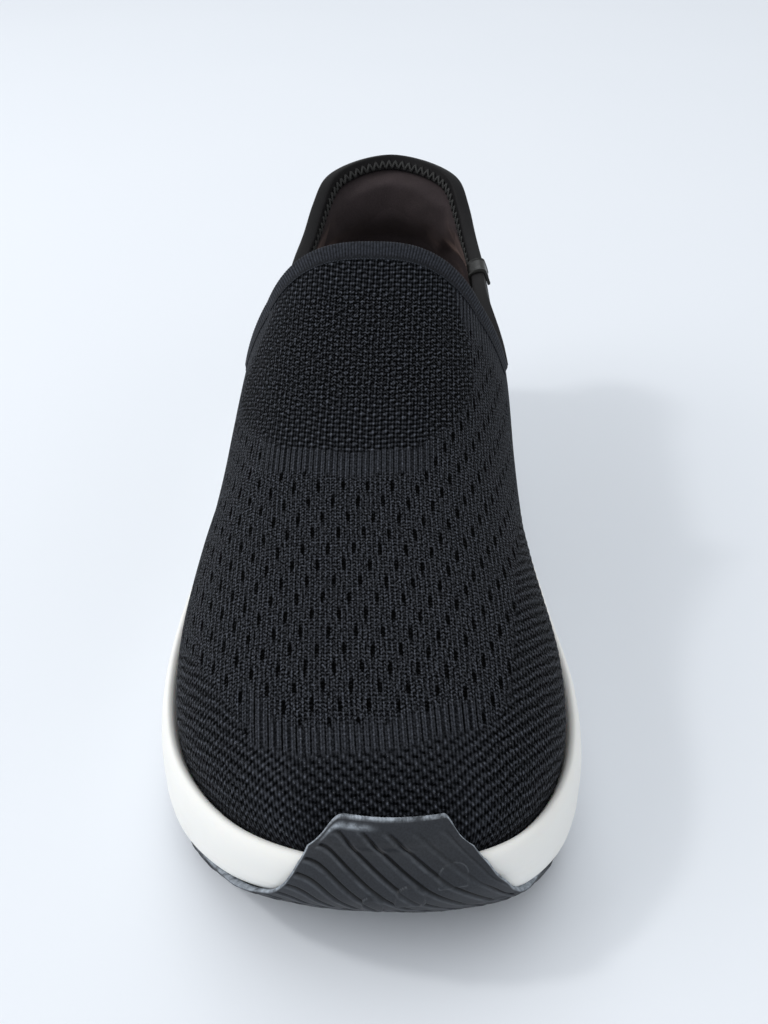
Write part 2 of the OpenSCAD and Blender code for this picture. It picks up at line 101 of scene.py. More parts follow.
# Curves along the shoe: station and height
UNDERSIDE = [(0, 19), (14, 12.3), (32, 6.5), (58, 3.5), (240, 3.5), (262, 5.1), (285, 10.5)]
RIM = [(0, 31), (30, 29), (60, 29), (110, 32), (163, 38), (210, 43), (250, 46), (285, 48)]
FOOTBED = [(0, 25), (20, 20.5), (50, 17.5), (95, 17.5), (150, 21.5), (210, 26), (250, 28),
           (285, 30)]
RIDGE = [(4.5, 29.5), (7, 36), (11, 41), (18, 45.5), (30, 50), (46, 54.5), (66, 60), (90, 68),
         (115, 79.5), (140, 95), (163, 111)]
TOPLINE = [(163, 72), (175, 74.5), (198, 80), (216, 83), (235, 86.5), (250, 91), (268, 99),
           (285, 104.5)]
VAULT = [(163, 75), (190, 88), (215, 105), (285, 120)]
SQUARE = [(0, 0.95), (20, 0.85), (60, 0.78), (110, 0.82), (163, 0.8), (285, 0.8)]
OUTER_SQUARE = 0.11             # how much squarer the outer side is near the collar
BOW = [(110, 0), (135, 0.04), (163, 0.07), (220, 0.02), (285, 0)]
SIDE_LEAN = [(0, 0), (16, -1), (32, 1.5), (46, 6), (60, 7)]
BACK_LEAN = [(0, 0), (16, -2.2), (34, 2.6), (48, 0.6), (58, -2.6)]


def curve(points, x):
    """A smooth curve without overshoot through the points, at x."""
    px, py = np.array(points, float).T
    x = np.clip(np.asarray(x, float), px[0], px[-1])
    i = np.clip(np.searchsorted(px, x, side="right") - 1, 0, len(px) - 2)
    slopes = np.diff(py) / np.diff(px)
    a, b = slopes[:-1], slopes[1:]
    middle = np.where(a * b > 0, 2 * a * b / np.where(a * b > 0, a + b, 1), 0)
    tangents = np.concatenate([slopes[:1], middle, slopes[-1:]])
    h = px[i + 1] - px[i]
    f = (x - px[i]) / h
    g = f * f * (3 - 2 * f)
    bend = tangents[i] * f * (1 - f) ** 2 - tangents[i + 1] * f * f * (1 - f)
    return py[i] * (1 - g) + py[i + 1] * g + h * bend


def smooth(x):
    x = np.clip(x, 0, 1)
    return x * x * (3 - 2 * x)


def spline(a, b, c, d, f):
    """Catmull-Rom curve from b to c, at share f."""
    return 0.5 * (2 * b + (c - a) * f + (2 * a - 5 * b + 4 * c - d) * f ** 2
                  + (3 * b - a - 3 * c + d) * f ** 3)


def through(points, f):
    """Spline through rows of points along axis 0, at positions f counted in rows."""
    last = len(points) - 1
    i = np.clip(np.floor(f).astype(int), 0, last - 1)
    f = (f - i).reshape((-1,) + (1,) * (points.ndim - 1))
    return spline(points[np.maximum(i - 1, 0)], points[i], points[i + 1],
                  points[np.minimum(i + 2, last)], f)


def outline(t):
    """The midsole's outline: t runs from 0 at the tip along the outer side, by the heel at 12."""
    t = np.asarray(t, float) % len(LOOP)
    i = np.floor(t).astype(int)
    return spline(*(LOOP[(i + k) % len(LOOP)] for k in (-1, 0, 1, 2)), (t - i)[..., None])


def inset(t, d):
    """The outline moved inwards by d."""
    q = outline(np.asarray(t) + 0.01) - outline(np.asarray(t) - 0.01)
    inward = np.stack([q[..., 1], -q[..., 0]], -1) / np.linalg.norm(q, axis=-1, keepdims=True)
    return outline(t) + inward * np.asarray(d, float)[..., None]


def underside(s):
    return curve(UNDERSIDE, s / LONG)


def rim(s):
    return curve(RIM, s / LONG)


def footbed(s):
    return curve(FOOTBED, s / LONG)


def squareness(s, side):
    more = OUTER_SQUARE * smooth((s - 110) / 45) * (1 - smooth((s - 195) / 60))
    return curve(SQUARE, s) - np.where(side < 0, more, 0)


def face_point(t, side, v):
    """A point of the knit's face: v runs from the feather line at 0 up to the ridge or topline."""
    t, side, v = np.broadcast_arrays(np.asarray(t, float), side, v)
    b, o = inset(-side * t, np.full(t.shape, FEATHER)), inset(side * t, np.full(t.shape, FEATHER))
    y = (b[..., 1] + o[..., 1]) / 2
    s = y / LONG
    middle = (b[..., 0] + o[..., 0]) / 2
    half = np.abs(b[..., 0] - o[..., 0]) / 2
    base = rim(y) - FEATHER_DROP
    e = squareness(s, side)
    closed = t <= COLLAR_T
    h = np.where(closed, np.maximum(curve(RIDGE, s) - base, 0.3), curve(VAULT, s))
    part = np.clip(np.minimum(curve(TOPLINE, s) - base, h) / h, 0, 1)
    top = np.where(closed, math.pi / 2, np.arcsin(part ** (1 / e)))
    up = h * np.sin(v * top) ** e
    bow = curve(BOW, s) * np.sin(math.pi * np.minimum(up / (0.75 * h), 1))
    vault = np.maximum(np.cos(v * top), 0) ** e + bow
    w = np.where(closed, 0, np.sqrt(np.maximum(0, 1 - (half / HALF_HEEL) ** 2))
                 * smooth((s - 215) / 40))
    lean = curve(SIDE_LEAN, up) * (1 - w * w) + curve(BACK_LEAN, up) * w * w
    rear = smooth((s - COLLAR_S) / 45)
    r = vault * (1 - rear) + (1 - lean / HALF_HEEL) * rear
    depth = np.where(closed, y + (b[..., 1] - y) * r, b[..., 1] - w * rear * lean)
    return np.stack([middle + side * half * r, depth, base + up], -1)


def over_front(t, q):
    """Points of the closed front: q runs from -1 on the outer side over the ridge to 1."""
    return face_point(t, np.where(q < 0, -1, 1), 1 - np.abs(q))


def s_of(points):
    return points[..., 1] / LONG


def to_row(points):
    """Millimetres by stations to metres in the row frame."""
    return (np.asarray(points) + [0, TIP_Y, 0]) / 1000


# ---------------------------------------------------------------- meshes

def unit(v):
    return v / np.maximum(np.linalg.norm(v, axis=-1, keepdims=True), 1e-9)


def grid_normals(points):
    return unit(np.cross(np.gradient(points, axis=1), np.gradient(points, axis=0)))


def read_at(x, known, values):
    """Reads the columns of values, known at increasing places, at x."""
    return np.stack([np.interp(x, known, column) for column in values.T], -1)


def grid_faces(rows, cols, first=0, wrap_rows=False, wrap_cols=False):
    """The four-cornered faces of a grid of points."""
    index = first + np.arange(rows * cols).reshape(rows, cols)
    if wrap_rows:
        index = np.vstack([index, index[:1]])
    if wrap_cols:
        index = np.hstack([index, index[:, :1]])
    corners = index[:-1, :-1], index[1:, :-1], index[1:, 1:], index[:-1, 1:]
    return np.stack(corners, -1).reshape(-1, 4)


def point_normals(points, faces, same=None):
    """Area-weighted normals of the points; same gives one number to points that coincide."""
    d = points[faces]
    n = np.cross(d[:, 2] - d[:, 0], d[:, 3] - d[:, 1])
    same = np.arange(len(points)) if same is None else same
    total = np.zeros((same.max() + 1, 3))
    for corner in range(4):
        np.add.at(total, same[faces[:, corner]], n)
    return unit(total[same])


def add_mesh(name, points, faces, attributes=None, normals=None):
    """A mesh object of points by stations. A face with a repeated corner becomes a triangle."""
    twice = faces == np.roll(faces, -1, axis=1)
    quads = faces[twice.sum(1) == 0]
    single = twice.sum(1) == 1
    where = (np.argmax(twice[single], 1)[:, None] + [1, 2, 3]) % 4
    triangles = np.take_along_axis(faces[single], where, 1)
    corners = np.concatenate([quads.ravel(), triangles.ravel()])
    used, corners = np.unique(corners, return_inverse=True)
    sizes = np.concatenate([np.full(len(quads), 4), np.full(len(triangles), 3)])
    mesh = bpy.data.meshes.new(name)
    mesh.vertices.add(len(used))
    mesh.vertices.foreach_set("co", to_row(points[used]).ravel())
    mesh.loops.add(len(corners))
    mesh.loops.foreach_set("vertex_index", corners.astype(np.int32))
    mesh.polygons.add(len(sizes))
    starts = np.concatenate([[0], np.cumsum(sizes)[:-1]])
    mesh.polygons.foreach_set("loop_start", starts.astype(np.int32))
    mesh.polygons.foreach_set("loop_total", sizes.astype(np.int32))
    mesh.polygons.foreach_set("use_smooth", np.ones(len(sizes), bool))
    mesh.update(calc_edges=True)
    for key, values in (attributes or {}).items():
        kind = "FLOAT" if values.ndim == 1 else "FLOAT_VECTOR"
        layer = mesh.attributes.new(key, kind, "POINT")
        layer.data.foreach_set("value" if values.ndim == 1 else "vector",
                               values[used].astype(np.float32).ravel())
    if normals is not None:
        mesh.normals_split_custom_set_from_vertices(normals[used])
    piece = bpy.data.objects.new(name, mesh)
    bpy.context.scene.collection.objects.link(piece)
    return piece


def tidy(piece, merge=2e-6):
    """Joins points that coincide, drops faces without area and turns the rest outwards."""
    work = bmesh.new()
    work.from_mesh(piece.data)
    bmesh.ops.remove_doubles(work, verts=work.verts, dist=merge)
    bmesh.ops.dissolve_degenerate(work, edges=work.edges, dist=merge / 2)
    bmesh.ops.recalc_face_normals(work, faces=work.faces)
    for face in work.faces:
        face.smooth = True
    work.to_mesh(piece.data)
    work.free()
    return piece


def plain_shell(name, outer, inner, attributes=None):
    """A closed piece between two facing grids, whose points stay in order: outer, then inner."""
    rows, cols = outer.shape[:2]
    count = rows * cols
    front = grid_faces(rows, cols)
    index = np.arange(count).reshape(rows, cols)
    border = np.concatenate([index[0, :-1], index[:-1, -1], index[-1, :0:-1], index[:0:-1, 0]])
    after = np.roll(border, -1)
    sides = np.stack([border + count, after + count, after, border], -1)
    points = np.concatenate([outer.reshape(-1, 3), inner.reshape(-1, 3)])
    faces = np.concatenate([front, front[:, ::-1] + count, sides])
    both = {key: np.concatenate([v, v]) for key, v in (attributes or {}).items()}
    return add_mesh(name, points, faces, both)


def closed_shell(name, outer, inner, attributes=None):
    """A plain shell with its coinciding points joined."""
    return tidy(plain_shell(name, outer, inner, attributes))


def swept(name, centres, side, up, profile, attributes=None):
    """A closed bar: the profile's points, given along side and up, at every station of a path."""
    points = centres[:, None] + side[:, None] * profile[..., :1] + up[:, None] * profile[..., 1:]
    rows, cols = points.shape[:2]
    faces = grid_faces(rows, cols, wrap_cols=True)
    caps = []
    for start in (0, (rows - 1) * cols):
        for j in range(cols // 2 - 1):
            caps.append([start + j, start + j + 1, start + cols - 2 - j, start + cols - 1 - j])
    faces = np.concatenate([faces, np.array(caps)])
    return tidy(add_mesh(name, points.reshape(-1, 3), faces, attributes))


def frames_along(path):
    """Side and up vectors along a path, with no twist against the vertical."""
    tangent = unit(np.gradient(path, axis=0))
    side = unit(np.cross(tangent, [0, 0, 1.0]))
    return side, np.cross(side, tangent)


def lengths(points, axis=0):
    """Running length along an axis of a grid of points."""
    steps = np.linalg.norm(np.diff(points, axis=axis), axis=-1)
    pad = [(0, 0)] * steps.ndim
    pad[axis] = (1, 0)
    return np.cumsum(np.pad(steps, pad), axis=axis)


# ---------------------------------------------------------------- knit upper

WALE = 1.31                     # distance between the knit's columns
COLUMN = WALE / 4               # distance between points across the wales
ROW = 0.34                      # distance between points along the wales
STITCH = 1.04                   # distance between stitches along a wale
COURSE_RADIUS = 50.0            # how the courses of the instep panel bend
PANEL_ACROSS, PANEL_ALONG = 2.5 * WALE, 2.95    # lattice of the instep panel
SLOT_ACROSS, SLOT_ALONG = 5 * WALE, 5.1         # lattice of the vamp's long openings
RIB = 1.65                      # distance between the ribs of the plain bands
SLOT_SWAY = 0.3                 # how far the wales bend round the openings
TOE_ACROSS, TOE_ALONG = 3.5, 2.9                # lattice of the toe zone's small holes
TOE_SLANT = 0.332               # waves per millimetre of the slanted rows at the toe's sides
RELIEF = 0.36                   # height of the stitches

# Borders on the unrolled knit: distance across from the ridge, and station
TOE_BORDER = [(-75, 78), (-50, 57.5), (-40, 44), (-33, 33), (-28, 24), (-16, 19.5), (4, 20.5),
              (27, 29), (32, 36), (36, 55), (40, 78), (50, 104), (75, 135)]
PANEL = [(-50, 140), (-42, 150), (-33, 157), (-15, 159.5), (12, 159.5), (24, 158), (31.5, 145),
         (32.4, 132.5), (24.8, 117.4), (13.4, 106), (-4.4, 103.6), (-23.4, 107.8), (-43.8, 128.8)]


def front_rows():
    """Values of t with points about ROW apart on the ridge and on both feather lines."""
    t = np.linspace(0, COLLAR_T, 1800)
    paths = [face_point(t, side, v) for side, v in ((-1, 1.0), (-1, 0.0), (1, 0.0), (1, 0.5))]
    steps = np.max([np.linalg.norm(np.diff(p, axis=0), axis=-1) for p in paths], axis=0)
    run = np.concatenate([[0], np.cumsum(steps)])
    return np.interp(np.linspace(0, run[-1], int(run[-1] / ROW)), run, t)


FRONT_COLS = 701                # points across the closed front, and the middle one
RIDGE_COL = FRONT_COLS // 2


def front_sheet():
    """The closed front of the knit on a fine grid: points, normals, and how far across they lie."""
    t = front_rows()
    q = np.linspace(-1, 1, FRONT_COLS)
    points = over_front(t[:, None], q[None])
    normals = grid_normals(points)
    run = lengths(points, 1)
    across = run - run[:, RIDGE_COL, None]
    across[0] = np.linspace(-0.01, 0.01, FRONT_COLS)
    normals[:3] = unit(np.array([0, -0.9, 0.3]))
    return points, normals, across


def wale_lengths(points, across):
    """Length along each wale, measured from a line across the ball of the foot."""
    grid = np.arange(-90, 90.5, 1.5)
    tracks = sample(points, across, grid)
    steps = np.linalg.norm(np.diff(tracks, axis=0), axis=-1)
    inside = (grid[None] > across[1:, :1]) & (grid[None] < across[1:, -1:])
    ridge_steps = steps[:, len(grid) // 2][:, None]
    steps = np.where(inside, np.minimum(steps, 3 * ridge_steps + 0.5), ridge_steps)
    run = np.concatenate([np.zeros((1, len(grid))), np.cumsum(steps, axis=0)])
    ball = np.argmin(np.abs(points[:, RIDGE_COL, 1] - 60 * LONG))
    middle = run[ball, len(grid) // 2]
    run = run - run[ball] + middle
    return np.stack([np.interp(across[i], grid, run[i]) for i in range(len(points))])


def sample(values, across, targets):
    """Reads rows of values at the same distances across, clamped to each row's ends."""
    return np.stack([read_at(targets, known, row) for known, row in zip(across, values)])


def to_line(w, s, path):
    """Distance of points on the unrolled knit from a path."""
    best = np.full(w.shape, 1e9)
    for (ax, ay), (bx, by) in zip(path[:-1], path[1:]):
        dx, dy = bx - ax, by - ay
        f = np.clip(((w - ax) * dx + (s - ay) * dy) / (dx * dx + dy * dy), 0, 1)
        best = np.minimum(best, np.hypot(w - ax - f * dx, s - ay - f * dy))
    return best


def past_toe(w, s):
    """How far a point lies behind the toe zone's border; negative inside the zone."""
    border = np.interp(w, *np.array(TOE_BORDER, float).T)
    return to_line(w, s, TOE_BORDER) * np.sign(s - border)


def in_panel(w, s):
    """How far a point lies inside the instep panel; negative outside."""
    path = PANEL + PANEL[:1]
    inside = np.zeros(w.shape, bool)
    for (ax, ay), (bx, by) in zip(path[:-1], path[1:]):
        if ay != by:
            inside ^= ((ay > s) != (by > s)) & (w < (bx - ax) * (s - ay) / (by - ay) + ax)
    return to_line(w, s, path) * np.where(inside, 1, -1)


def slots(w, u):
    """The vamp's long openings, in shifted rows, and how the ribs bend round them."""
    row = np.round(u / SLOT_ALONG)
    a = (w - WALE / 2) / SLOT_ACROSS - 0.4 * row
    dx = (a - np.round(a)) * SLOT_ACROSS / 0.44
    dy = (u / SLOT_ALONG - row) * SLOT_ALONG / 1.5
    bend = np.sin(2 * math.pi * a) * (0.5 + 0.5 * np.cos(2 * math.pi * u / SLOT_ALONG))
    return np.exp(-(dx * dx + dy * dy) ** 1.5), bend


def drift(w, u):
    """Moves stitches slightly off their rows, as a knitted cloth's are."""
    return (w + 0.14 * np.sin(u / 2.3 + 1.9 * np.sin(w / 4.1)),
            u + 0.2 * np.sin(w / 1.9 + 1.6 * np.sin(u / 3.7)) + 0.12 * np.sin(w * 1.7 + u * 0.9))


def zones(w, s):
    """Parts of the toe zone, the instep panel and the plain rib bands at each point."""
    past, depth = past_toe(w, s), in_panel(w, s)
    toe = smooth(0.5 - past / 2.4)
    panel = smooth(0.5 + depth / 2.0)
    band = smooth((8.5 - past) / 3.5) * smooth((32 - np.abs(w + 2)) / 9)
    under = smooth((depth + 8.5) / 2.5) * smooth((30 - np.abs(w + 6)) / 12) * smooth((125 - s) / 12)
    collar = smooth((s - 147) / 5)
    return np.stack([toe, panel, np.maximum(np.maximum(band, under), collar)], -1)


def relief(w, u, c, s, zone):
    """Height of the knit's stitches, from 0 in the gaps to 1 on top."""
    turn = 2 * math.pi
    plain = 0.12 + 0.6 * np.abs(np.cos(math.pi * w / RIB)) ** 0.45
    c = c - u
    w, u = drift(w, u)
    c = c + u
    far = np.abs(w)
    blend = smooth((far - 12) / 12)
    a, b = turn * w / TOE_ACROSS, turn * u / TOE_ALONG
    low = smooth((s - 22) / -14)
    loops = np.cos(2 * a) * np.cos(2 * b)
    middle = 0.57 - 0.07 * low + 0.045 * np.cos(a + b) + 0.08 * np.cos(2 * a) \
        + (0.1 + 0.14 * low) * loops - 0.5 * smooth((-np.cos(a) * np.cos(b) - 0.6) / 0.3)
    slant = np.cos(turn * TOE_SLANT * (u - far))
    sides = 0.54 + 0.15 * slant + 0.15 * np.cos(turn * (0.579 * u + 0.312 * far)) + 0.12 * loops
    toe = middle * (1 - blend) + sides * blend
    a, b = turn * w / PANEL_ACROSS, turn * c / PANEL_ALONG
    panel = 0.48 + 0.1 * np.cos(a - b) + 0.05 * np.cos(a + b) \
        + 0.13 * np.cos(2 * a) + 0.2 * np.cos(2 * b)
    open_, bend = slots(w, u)
    braid = 0.3 + 0.42 * np.abs(np.cos(math.pi * (w - SLOT_SWAY * bend) / WALE)) ** 0.8 \
        - 0.9 * open_
    t, p, b = zone[..., 0], zone[..., 1], zone[..., 2]
    rest = braid * (1 - b) + plain * b
    return np.clip((rest * (1 - p) + panel * p) * (1 - t) + toe * t, 0, 1)


def clamped_grid(low, high, targets):
    """Numbers the points of a grid whose rows end where targets pass the row's ends."""
    rows, cols = len(low), len(targets)
    left = np.searchsorted(targets, low, side="left") - 1
    right = np.searchsorted(targets, high, side="right")
    j = np.clip(np.arange(cols)[None], np.clip(left, 0, cols - 1)[:, None],
                np.clip(right, 0, cols - 1)[:, None])
    index = np.arange(rows)[:, None] * cols + j
    corners = index[:-1, :-1], index[1:, :-1], index[1:, 1:], index[:-1, 1:]
    faces = np.stack(corners, -1)
    empty = (faces[..., 0] == faces[..., 3]) & (faces[..., 1] == faces[..., 2])
    return faces, ~empty


def knit_front():
    """Front of the knit: its grid of points with their weave, and its faces by row."""
    points, normals, across = front_sheet()
    run = wale_lengths(points, across)
    reach = math.ceil(max(-across[:, 0].min(), across[:, -1].max()) / COLUMN)
    targets = np.arange(-reach, reach + 1) * COLUMN
    both = sample(np.concatenate([points, normals, run[..., None]], -1), across, targets)
    w = np.clip(targets[None], across[:, :1], across[:, -1:])
    faces, keep = clamped_grid(across[:, 0], across[:, -1], targets)
    return {"points": both[..., :3], "normals": unit(both[..., 3:6]), "w": w, "u": both[..., 6],
            "faces": faces, "keep": keep, "edge_w": across[-1], "edge_u": run[-1]}


def rear_frame(k, v):
    """Points of the rear walls: k runs from 0 beside the collar by K_HEEL to K_END."""
    k = np.asarray(k, float)
    t = COLLAR_T + (HEEL_T - COLLAR_T) * (K_HEEL - np.abs(k - K_HEEL)) / K_HEEL
    t = np.maximum(t, COLLAR_T + 1e-6)
    return face_point(t, np.where(k <= K_HEEL, -1, 1), v)


def rear_columns(step):
    """Values of k with points about step apart, and their running length."""
    k = np.linspace(0, K_END, 1401)
    run = lengths(rear_frame(k, 0.5))
    spots = np.linspace(0, run[-1], int(run[-1] / step) | 1)
    return np.interp(spots, run, k), spots


def knit_rear(front):
    """Rear walls of the knit, on wales that carry on from the front's."""
    k, run = rear_columns(0.5)
    v = np.linspace(0, 1, 161)
    points = rear_frame(k[:, None], v[None])
    normals = grid_normals(points)
    height = lengths(points, 1)
    side = np.where(k <= K_HEEL, -1, 1)
    full = np.where(side < 0, -front["edge_w"][0], front["edge_w"][-1])
    targets = np.arange(0, int(height.max() / COLUMN) + 2) * COLUMN
    offset = (full % COLUMN)[:, None]
    stack = np.concatenate([points, normals, height[..., None]], -1)
    h = np.clip(targets + offset - COLUMN, 0, height[:, -1:])
    both = np.stack([read_at(*row) for row in zip(h, height, stack)])
    w = side[:, None] * (full[:, None] - both[..., 6])
    start = np.stack([np.interp(w[i], front["edge_w"], front["edge_u"]) for i in range(len(k))])
    u = start + np.minimum(run, run[-1] - run)[:, None]
    low = np.full(len(k), -1.0)
    faces, keep = clamped_grid(low, height[:, -1] - offset[:, 0] + COLUMN, targets)
    return {"points": both[..., :3], "normals": unit(both[..., 3:6]), "w": w, "u": u,
            "faces": faces[..., ::-1], "keep": keep}


def knit_pieces(finish):
    """The knit upper in five pieces that share their borders and their shading."""
    front = knit_front()
    rear = knit_rear(front)
    base, normals = (np.concatenate([g[key].reshape(-1, 3) for g in (front, rear)])
                     for key in ("points", "normals"))
    first = front["w"].size
    ridge = 300 * front["w"].shape[1] + front["w"].shape[1] // 2    # here the knit faces up,
    heel = first + (len(rear["w"]) // 2) * rear["w"].shape[1] + 40  # and here backwards
    if normals[ridge, 2] < 0:
        normals[:first] *= -1
    if normals[heel, 1] < 0:
        normals[first:] *= -1
    w, u = (np.concatenate([g[key].ravel() for g in (front, rear)]) for key in "wu")
    c = u - w * w / (2 * COURSE_RADIUS)
    zone = zones(w, s_of(base))
    height = relief(w, u, c, s_of(base), zone)
    points = base + normals * (RELIEF * (height - 0.65))[:, None]
    rear_faces = rear["faces"] + first
    flat = np.concatenate([front["faces"][front["keep"]], rear_faces[rear["keep"]]])
    same = np.unique(np.round(base, 2), axis=0, return_inverse=True)[1].ravel()
    shading = point_normals(points, flat, same)
    if shading[heel, 1] < 0:
        shading = -shading
    # height also sets the yarn's colour, darker in the gaps as painted shade.
    attributes = {"weave": np.stack([w, u, c], -1), "zone": zone, "height": height}
    rows = len(front["w"]) - 1
    cuts = [0, int(rows * 0.4), int(rows * 0.72), rows]
    cols = len(rear["w"]) - 1
    parts = {}
    for name, a, b in zip(("knit_toe", "knit_vamp", "knit_instep"), cuts[:-1], cuts[1:]):
        parts[name] = front["faces"][a:b][front["keep"][a:b]]
    for name, a, b in (("knit_quarter_lateral", 0, cols // 2),
                       ("knit_quarter_medial", cols // 2, cols)):
        parts[name] = rear_faces[a:b][rear["keep"][a:b]]
    for name, faces in parts.items():
        piece = add_mesh(name, points, faces, attributes, shading)
        dress(piece, finish, "shoe", "knit", "knit_upper")


# ---------------------------------------------------------------- finishes

class Finish:
    """A material with one Principled shader, and short ways to add nodes to it."""

    def __init__(self, name, **sockets):
        self.material = bpy.data.materials.new(name)
        self.material.use_nodes = True
        self.tree = self.material.node_tree
        self.shader = self.tree.nodes["Principled BSDF"]
        for key, value in sockets.items():
            self.shader.inputs[key.replace("_", " ")].default_value = value

    def node(self, kind, settings=None, **inputs):
        made = self.tree.nodes.new("ShaderNode" + kind)
        for key, value in (settings or {}).items():
            setattr(made, key, value)
        for key, value in inputs.items():
            self.put(value, made.inputs[int(key[1:]) if key[0] == "i" and key[1:].isdigit()
                                        else key.replace("_", " ")])
        return made

    def put(self, value, socket):
        if isinstance(value, bpy.types.NodeSocket):
            self.tree.links.new(value, socket)
        else:
            socket.default_value = value

    def math(self, operation, a, b=0.0):
        return self.node("Math", {"operation": operation}, i0=a, i1=b).outputs[0]

    def times(self, a, b):
        return self.math("MULTIPLY", a, b)

    def attribute(self, name):
        return self.node("Attribute", {"attribute_name": name})

    def place(self):
        """The piece's own coordinates, in metres."""
        return self.node("TexCoord").outputs["Object"]

    def stretched(self, x, y, z):
        return self.node("Mapping", Vector=self.place(), Scale=(x, y, z)).outputs[0]

    def noise(self, scale, detail=3.0, rough=0.55, vector=None):
        made = self.node("TexNoise", Vector=vector or self.place(), Scale=scale, Detail=detail,
                         Roughness=rough)
        return made.outputs["Fac"]

    def ramp(self, value, *stops):
        made = self.node("ValToRGB", Fac=value)
        elements = made.color_ramp.elements
        while len(elements) < len(stops):
            elements.new(0.5)
        for element, (spot, colour) in zip(elements, stops):
            element.position = spot
            element.color = colour if len(colour) == 4 else (*colour, 1)
        return made.outputs["Color"]

    def mix(self, share, a, b, blend="MIX"):
        made = self.node("Mix", {"data_type": "RGBA", "blend_type": blend}, i0=share)
        self.put(a, made.inputs[6])
        self.put(b, made.inputs[7])
        return made.outputs[2]

    def bump(self, height, strength, distance, below=None):
        made = self.node("Bump", Height=height, Strength=strength, Distance=distance)
        if below is not None:
            self.tree.links.new(below, made.inputs["Normal"])
        return made.outputs["Normal"]

    def range(self, value, low, high, start=0.0, stop=1.0):
        return self.node("MapRange", Value=value, From_Min=start, From_Max=stop,
                         To_Min=low, To_Max=high).outputs[0]

    def vary(self, shade, value, start, low, stop, high):
        """Multiplies a shade by low to high as value goes from start to stop."""
        return self.mix(1.0, shade, self.ramp(value, (start, grey(low)), (stop, grey(high))),
                        "MULTIPLY")

    def set(self, **inputs):
        for key, value in inputs.items():
            self.put(value, self.shader.inputs[key.replace("_", " ")])
        return self.material


def grey(value, tint=(1, 1, 1)):
    return tuple(value * k for k in tint) + (1,)


COLD = (0.86, 0.96, 1.22)       # tint of the knit's blue-grey yarn


def knit_finish():
    """Knit yarn: the stitches of each zone with fibre, painted shade darkening the gaps and
    openings, and small painted highlights as glints.
    """
    f = Finish("knit_yarn", Roughness=0.72, Sheen_Weight=0.02, Sheen_Roughness=0.5)
    weave = f.attribute("weave").outputs["Vector"]
    w, u = f.node("SeparateXYZ", Vector=weave).outputs[:2]
    toe_part, panel_part, rib_part = f.node("SeparateXYZ",
                                            Vector=f.attribute("zone").outputs["Vector"]).outputs
    height = f.attribute("height").outputs["Fac"]
    turn = 2 * math.pi

    def wave(value, pitch):
        return f.math("COSINE", f.times(value, turn / pitch))

    phase = f.times(w, 1 / WALE)
    side = f.math("ABSOLUTE", f.math("SUBTRACT", phase, f.math("ROUND", phase)))
    legs = wave(f.math("SUBTRACT", u, f.times(side, 1.3)), STITCH)
    strength = f.times(f.range(toe_part, 0.15, 0.06), f.range(rib_part, 1.0, 0.3))
    grain = f.node("Mapping", Vector=weave, Scale=(1.6, 1.5, 0)).outputs[0]
    lively = f.times(f.math("SUBTRACT", f.noise(1.0, 2.0, 0.6, grain), 0.5),
                    f.times(f.range(rib_part, 2.0, 0.7), f.range(toe_part, 1.0, 0.6)))
    meshed = f.math("ADD", toe_part, panel_part)
    pairs = f.times(wave(w, WALE / 2), f.range(meshed, 0.13, 0.0))
    fine = f.times(wave(w, TOE_ACROSS / 4), f.range(meshed, 0.0, 0.13))
    legs = f.math("ADD", f.times(legs, strength), f.math("ADD", pairs, fine))
    tall = f.math("ADD", f.math("ADD", height, legs), lively)

    fibre = f.noise(1.0, 2.0, vector=f.node("Mapping", Vector=weave, Scale=(6, 2.6, 0)).outputs[0])
    yarn = f.noise(0.9, 3.0, vector=weave)
    # Painted shade: the ramp runs the yarn to near black in the gaps and openings between stitches,
    # where shade falls.
    shade = f.ramp(tall, (0.2, grey(0.0004, COLD)), (0.48, grey(0.006, COLD)),
                   (0.8, grey(0.026, COLD)), (1.0, grey(0.07, COLD)))
    shade = f.vary(shade, yarn, 0.25, 0.7, 0.75, 1.3)
    shade = f.vary(shade, fibre, 0.3, 0.5, 0.7, 1.5)
    shade = f.vary(shade, rib_part, 0.0, 1.0, 1.0, 1.25)
    # Painted highlights: tiny pale specks on the stitches' tops stand for glints of light on the
    # yarn.
    speck = f.noise(2.3, 1.0, vector=weave)
    painted_glint = f.times(f.math("GREATER_THAN", speck, 0.71),
                   f.math("GREATER_THAN", tall, 0.6))
    shade = f.mix(f.times(painted_glint, 0.5), shade, grey(0.17, (0.95, 0.98, 1.06)))
    bumped = f.bump(fibre, 0.35, 0.00012)
    bumped = f.bump(tall, 0.9, 0.0004, bumped)
    return f.set(Base_Color=shade, Normal=bumped,
                 Specular_IOR_Level=f.range(tall, 0.0, 0.22, 0.35, 0.95))


def band_finish():
    """Fine plain ribs of the collar band, a little lighter than the knit, with painted shade
    darkening the valleys between the ribs.
    """
    f = Finish("band_yarn", Roughness=0.8, Sheen_Weight=0.03, Specular_IOR_Level=0.1)
    height = f.attribute("height").outputs["Fac"]
    fibre = f.noise(1500, 3.0, 0.65)
    # Painted shade: the colour runs near black in the valleys between the ribs; it is also darker
    # towards the band's lower edge.
    shade = f.ramp(height, (0.0, grey(0.002, COLD)), (0.35, grey(0.009, COLD)),
                   (1.0, grey(0.034, COLD)))
    shade = f.vary(shade, fibre, 0.3, 0.45, 0.7, 1.6)
    return f.set(Base_Color=shade, Normal=f.bump(fibre, 0.3, 0.0001))


def tape_finish():
    """Smooth woven binding tape with a fine cross grain."""
    f = Finish("binding_tape", Roughness=0.62, Sheen_Weight=0.015, Specular_IOR_Level=0.12)
    grain = f.noise(2100, 2.0, vector=f.stretched(1, 1, 2.5))
    cloud = f.noise(90, 3.0)
    shade = f.mix(cloud, grey(0.004, (1.08, 1.0, 1.08)), grey(0.0085, (1.07, 1.0, 1.12)))
    shade = f.vary(shade, grain, 0.3, 0.7, 0.7, 1.35)
    return f.set(Base_Color=shade, Normal=f.bump(grain, 0.3, 0.00008))


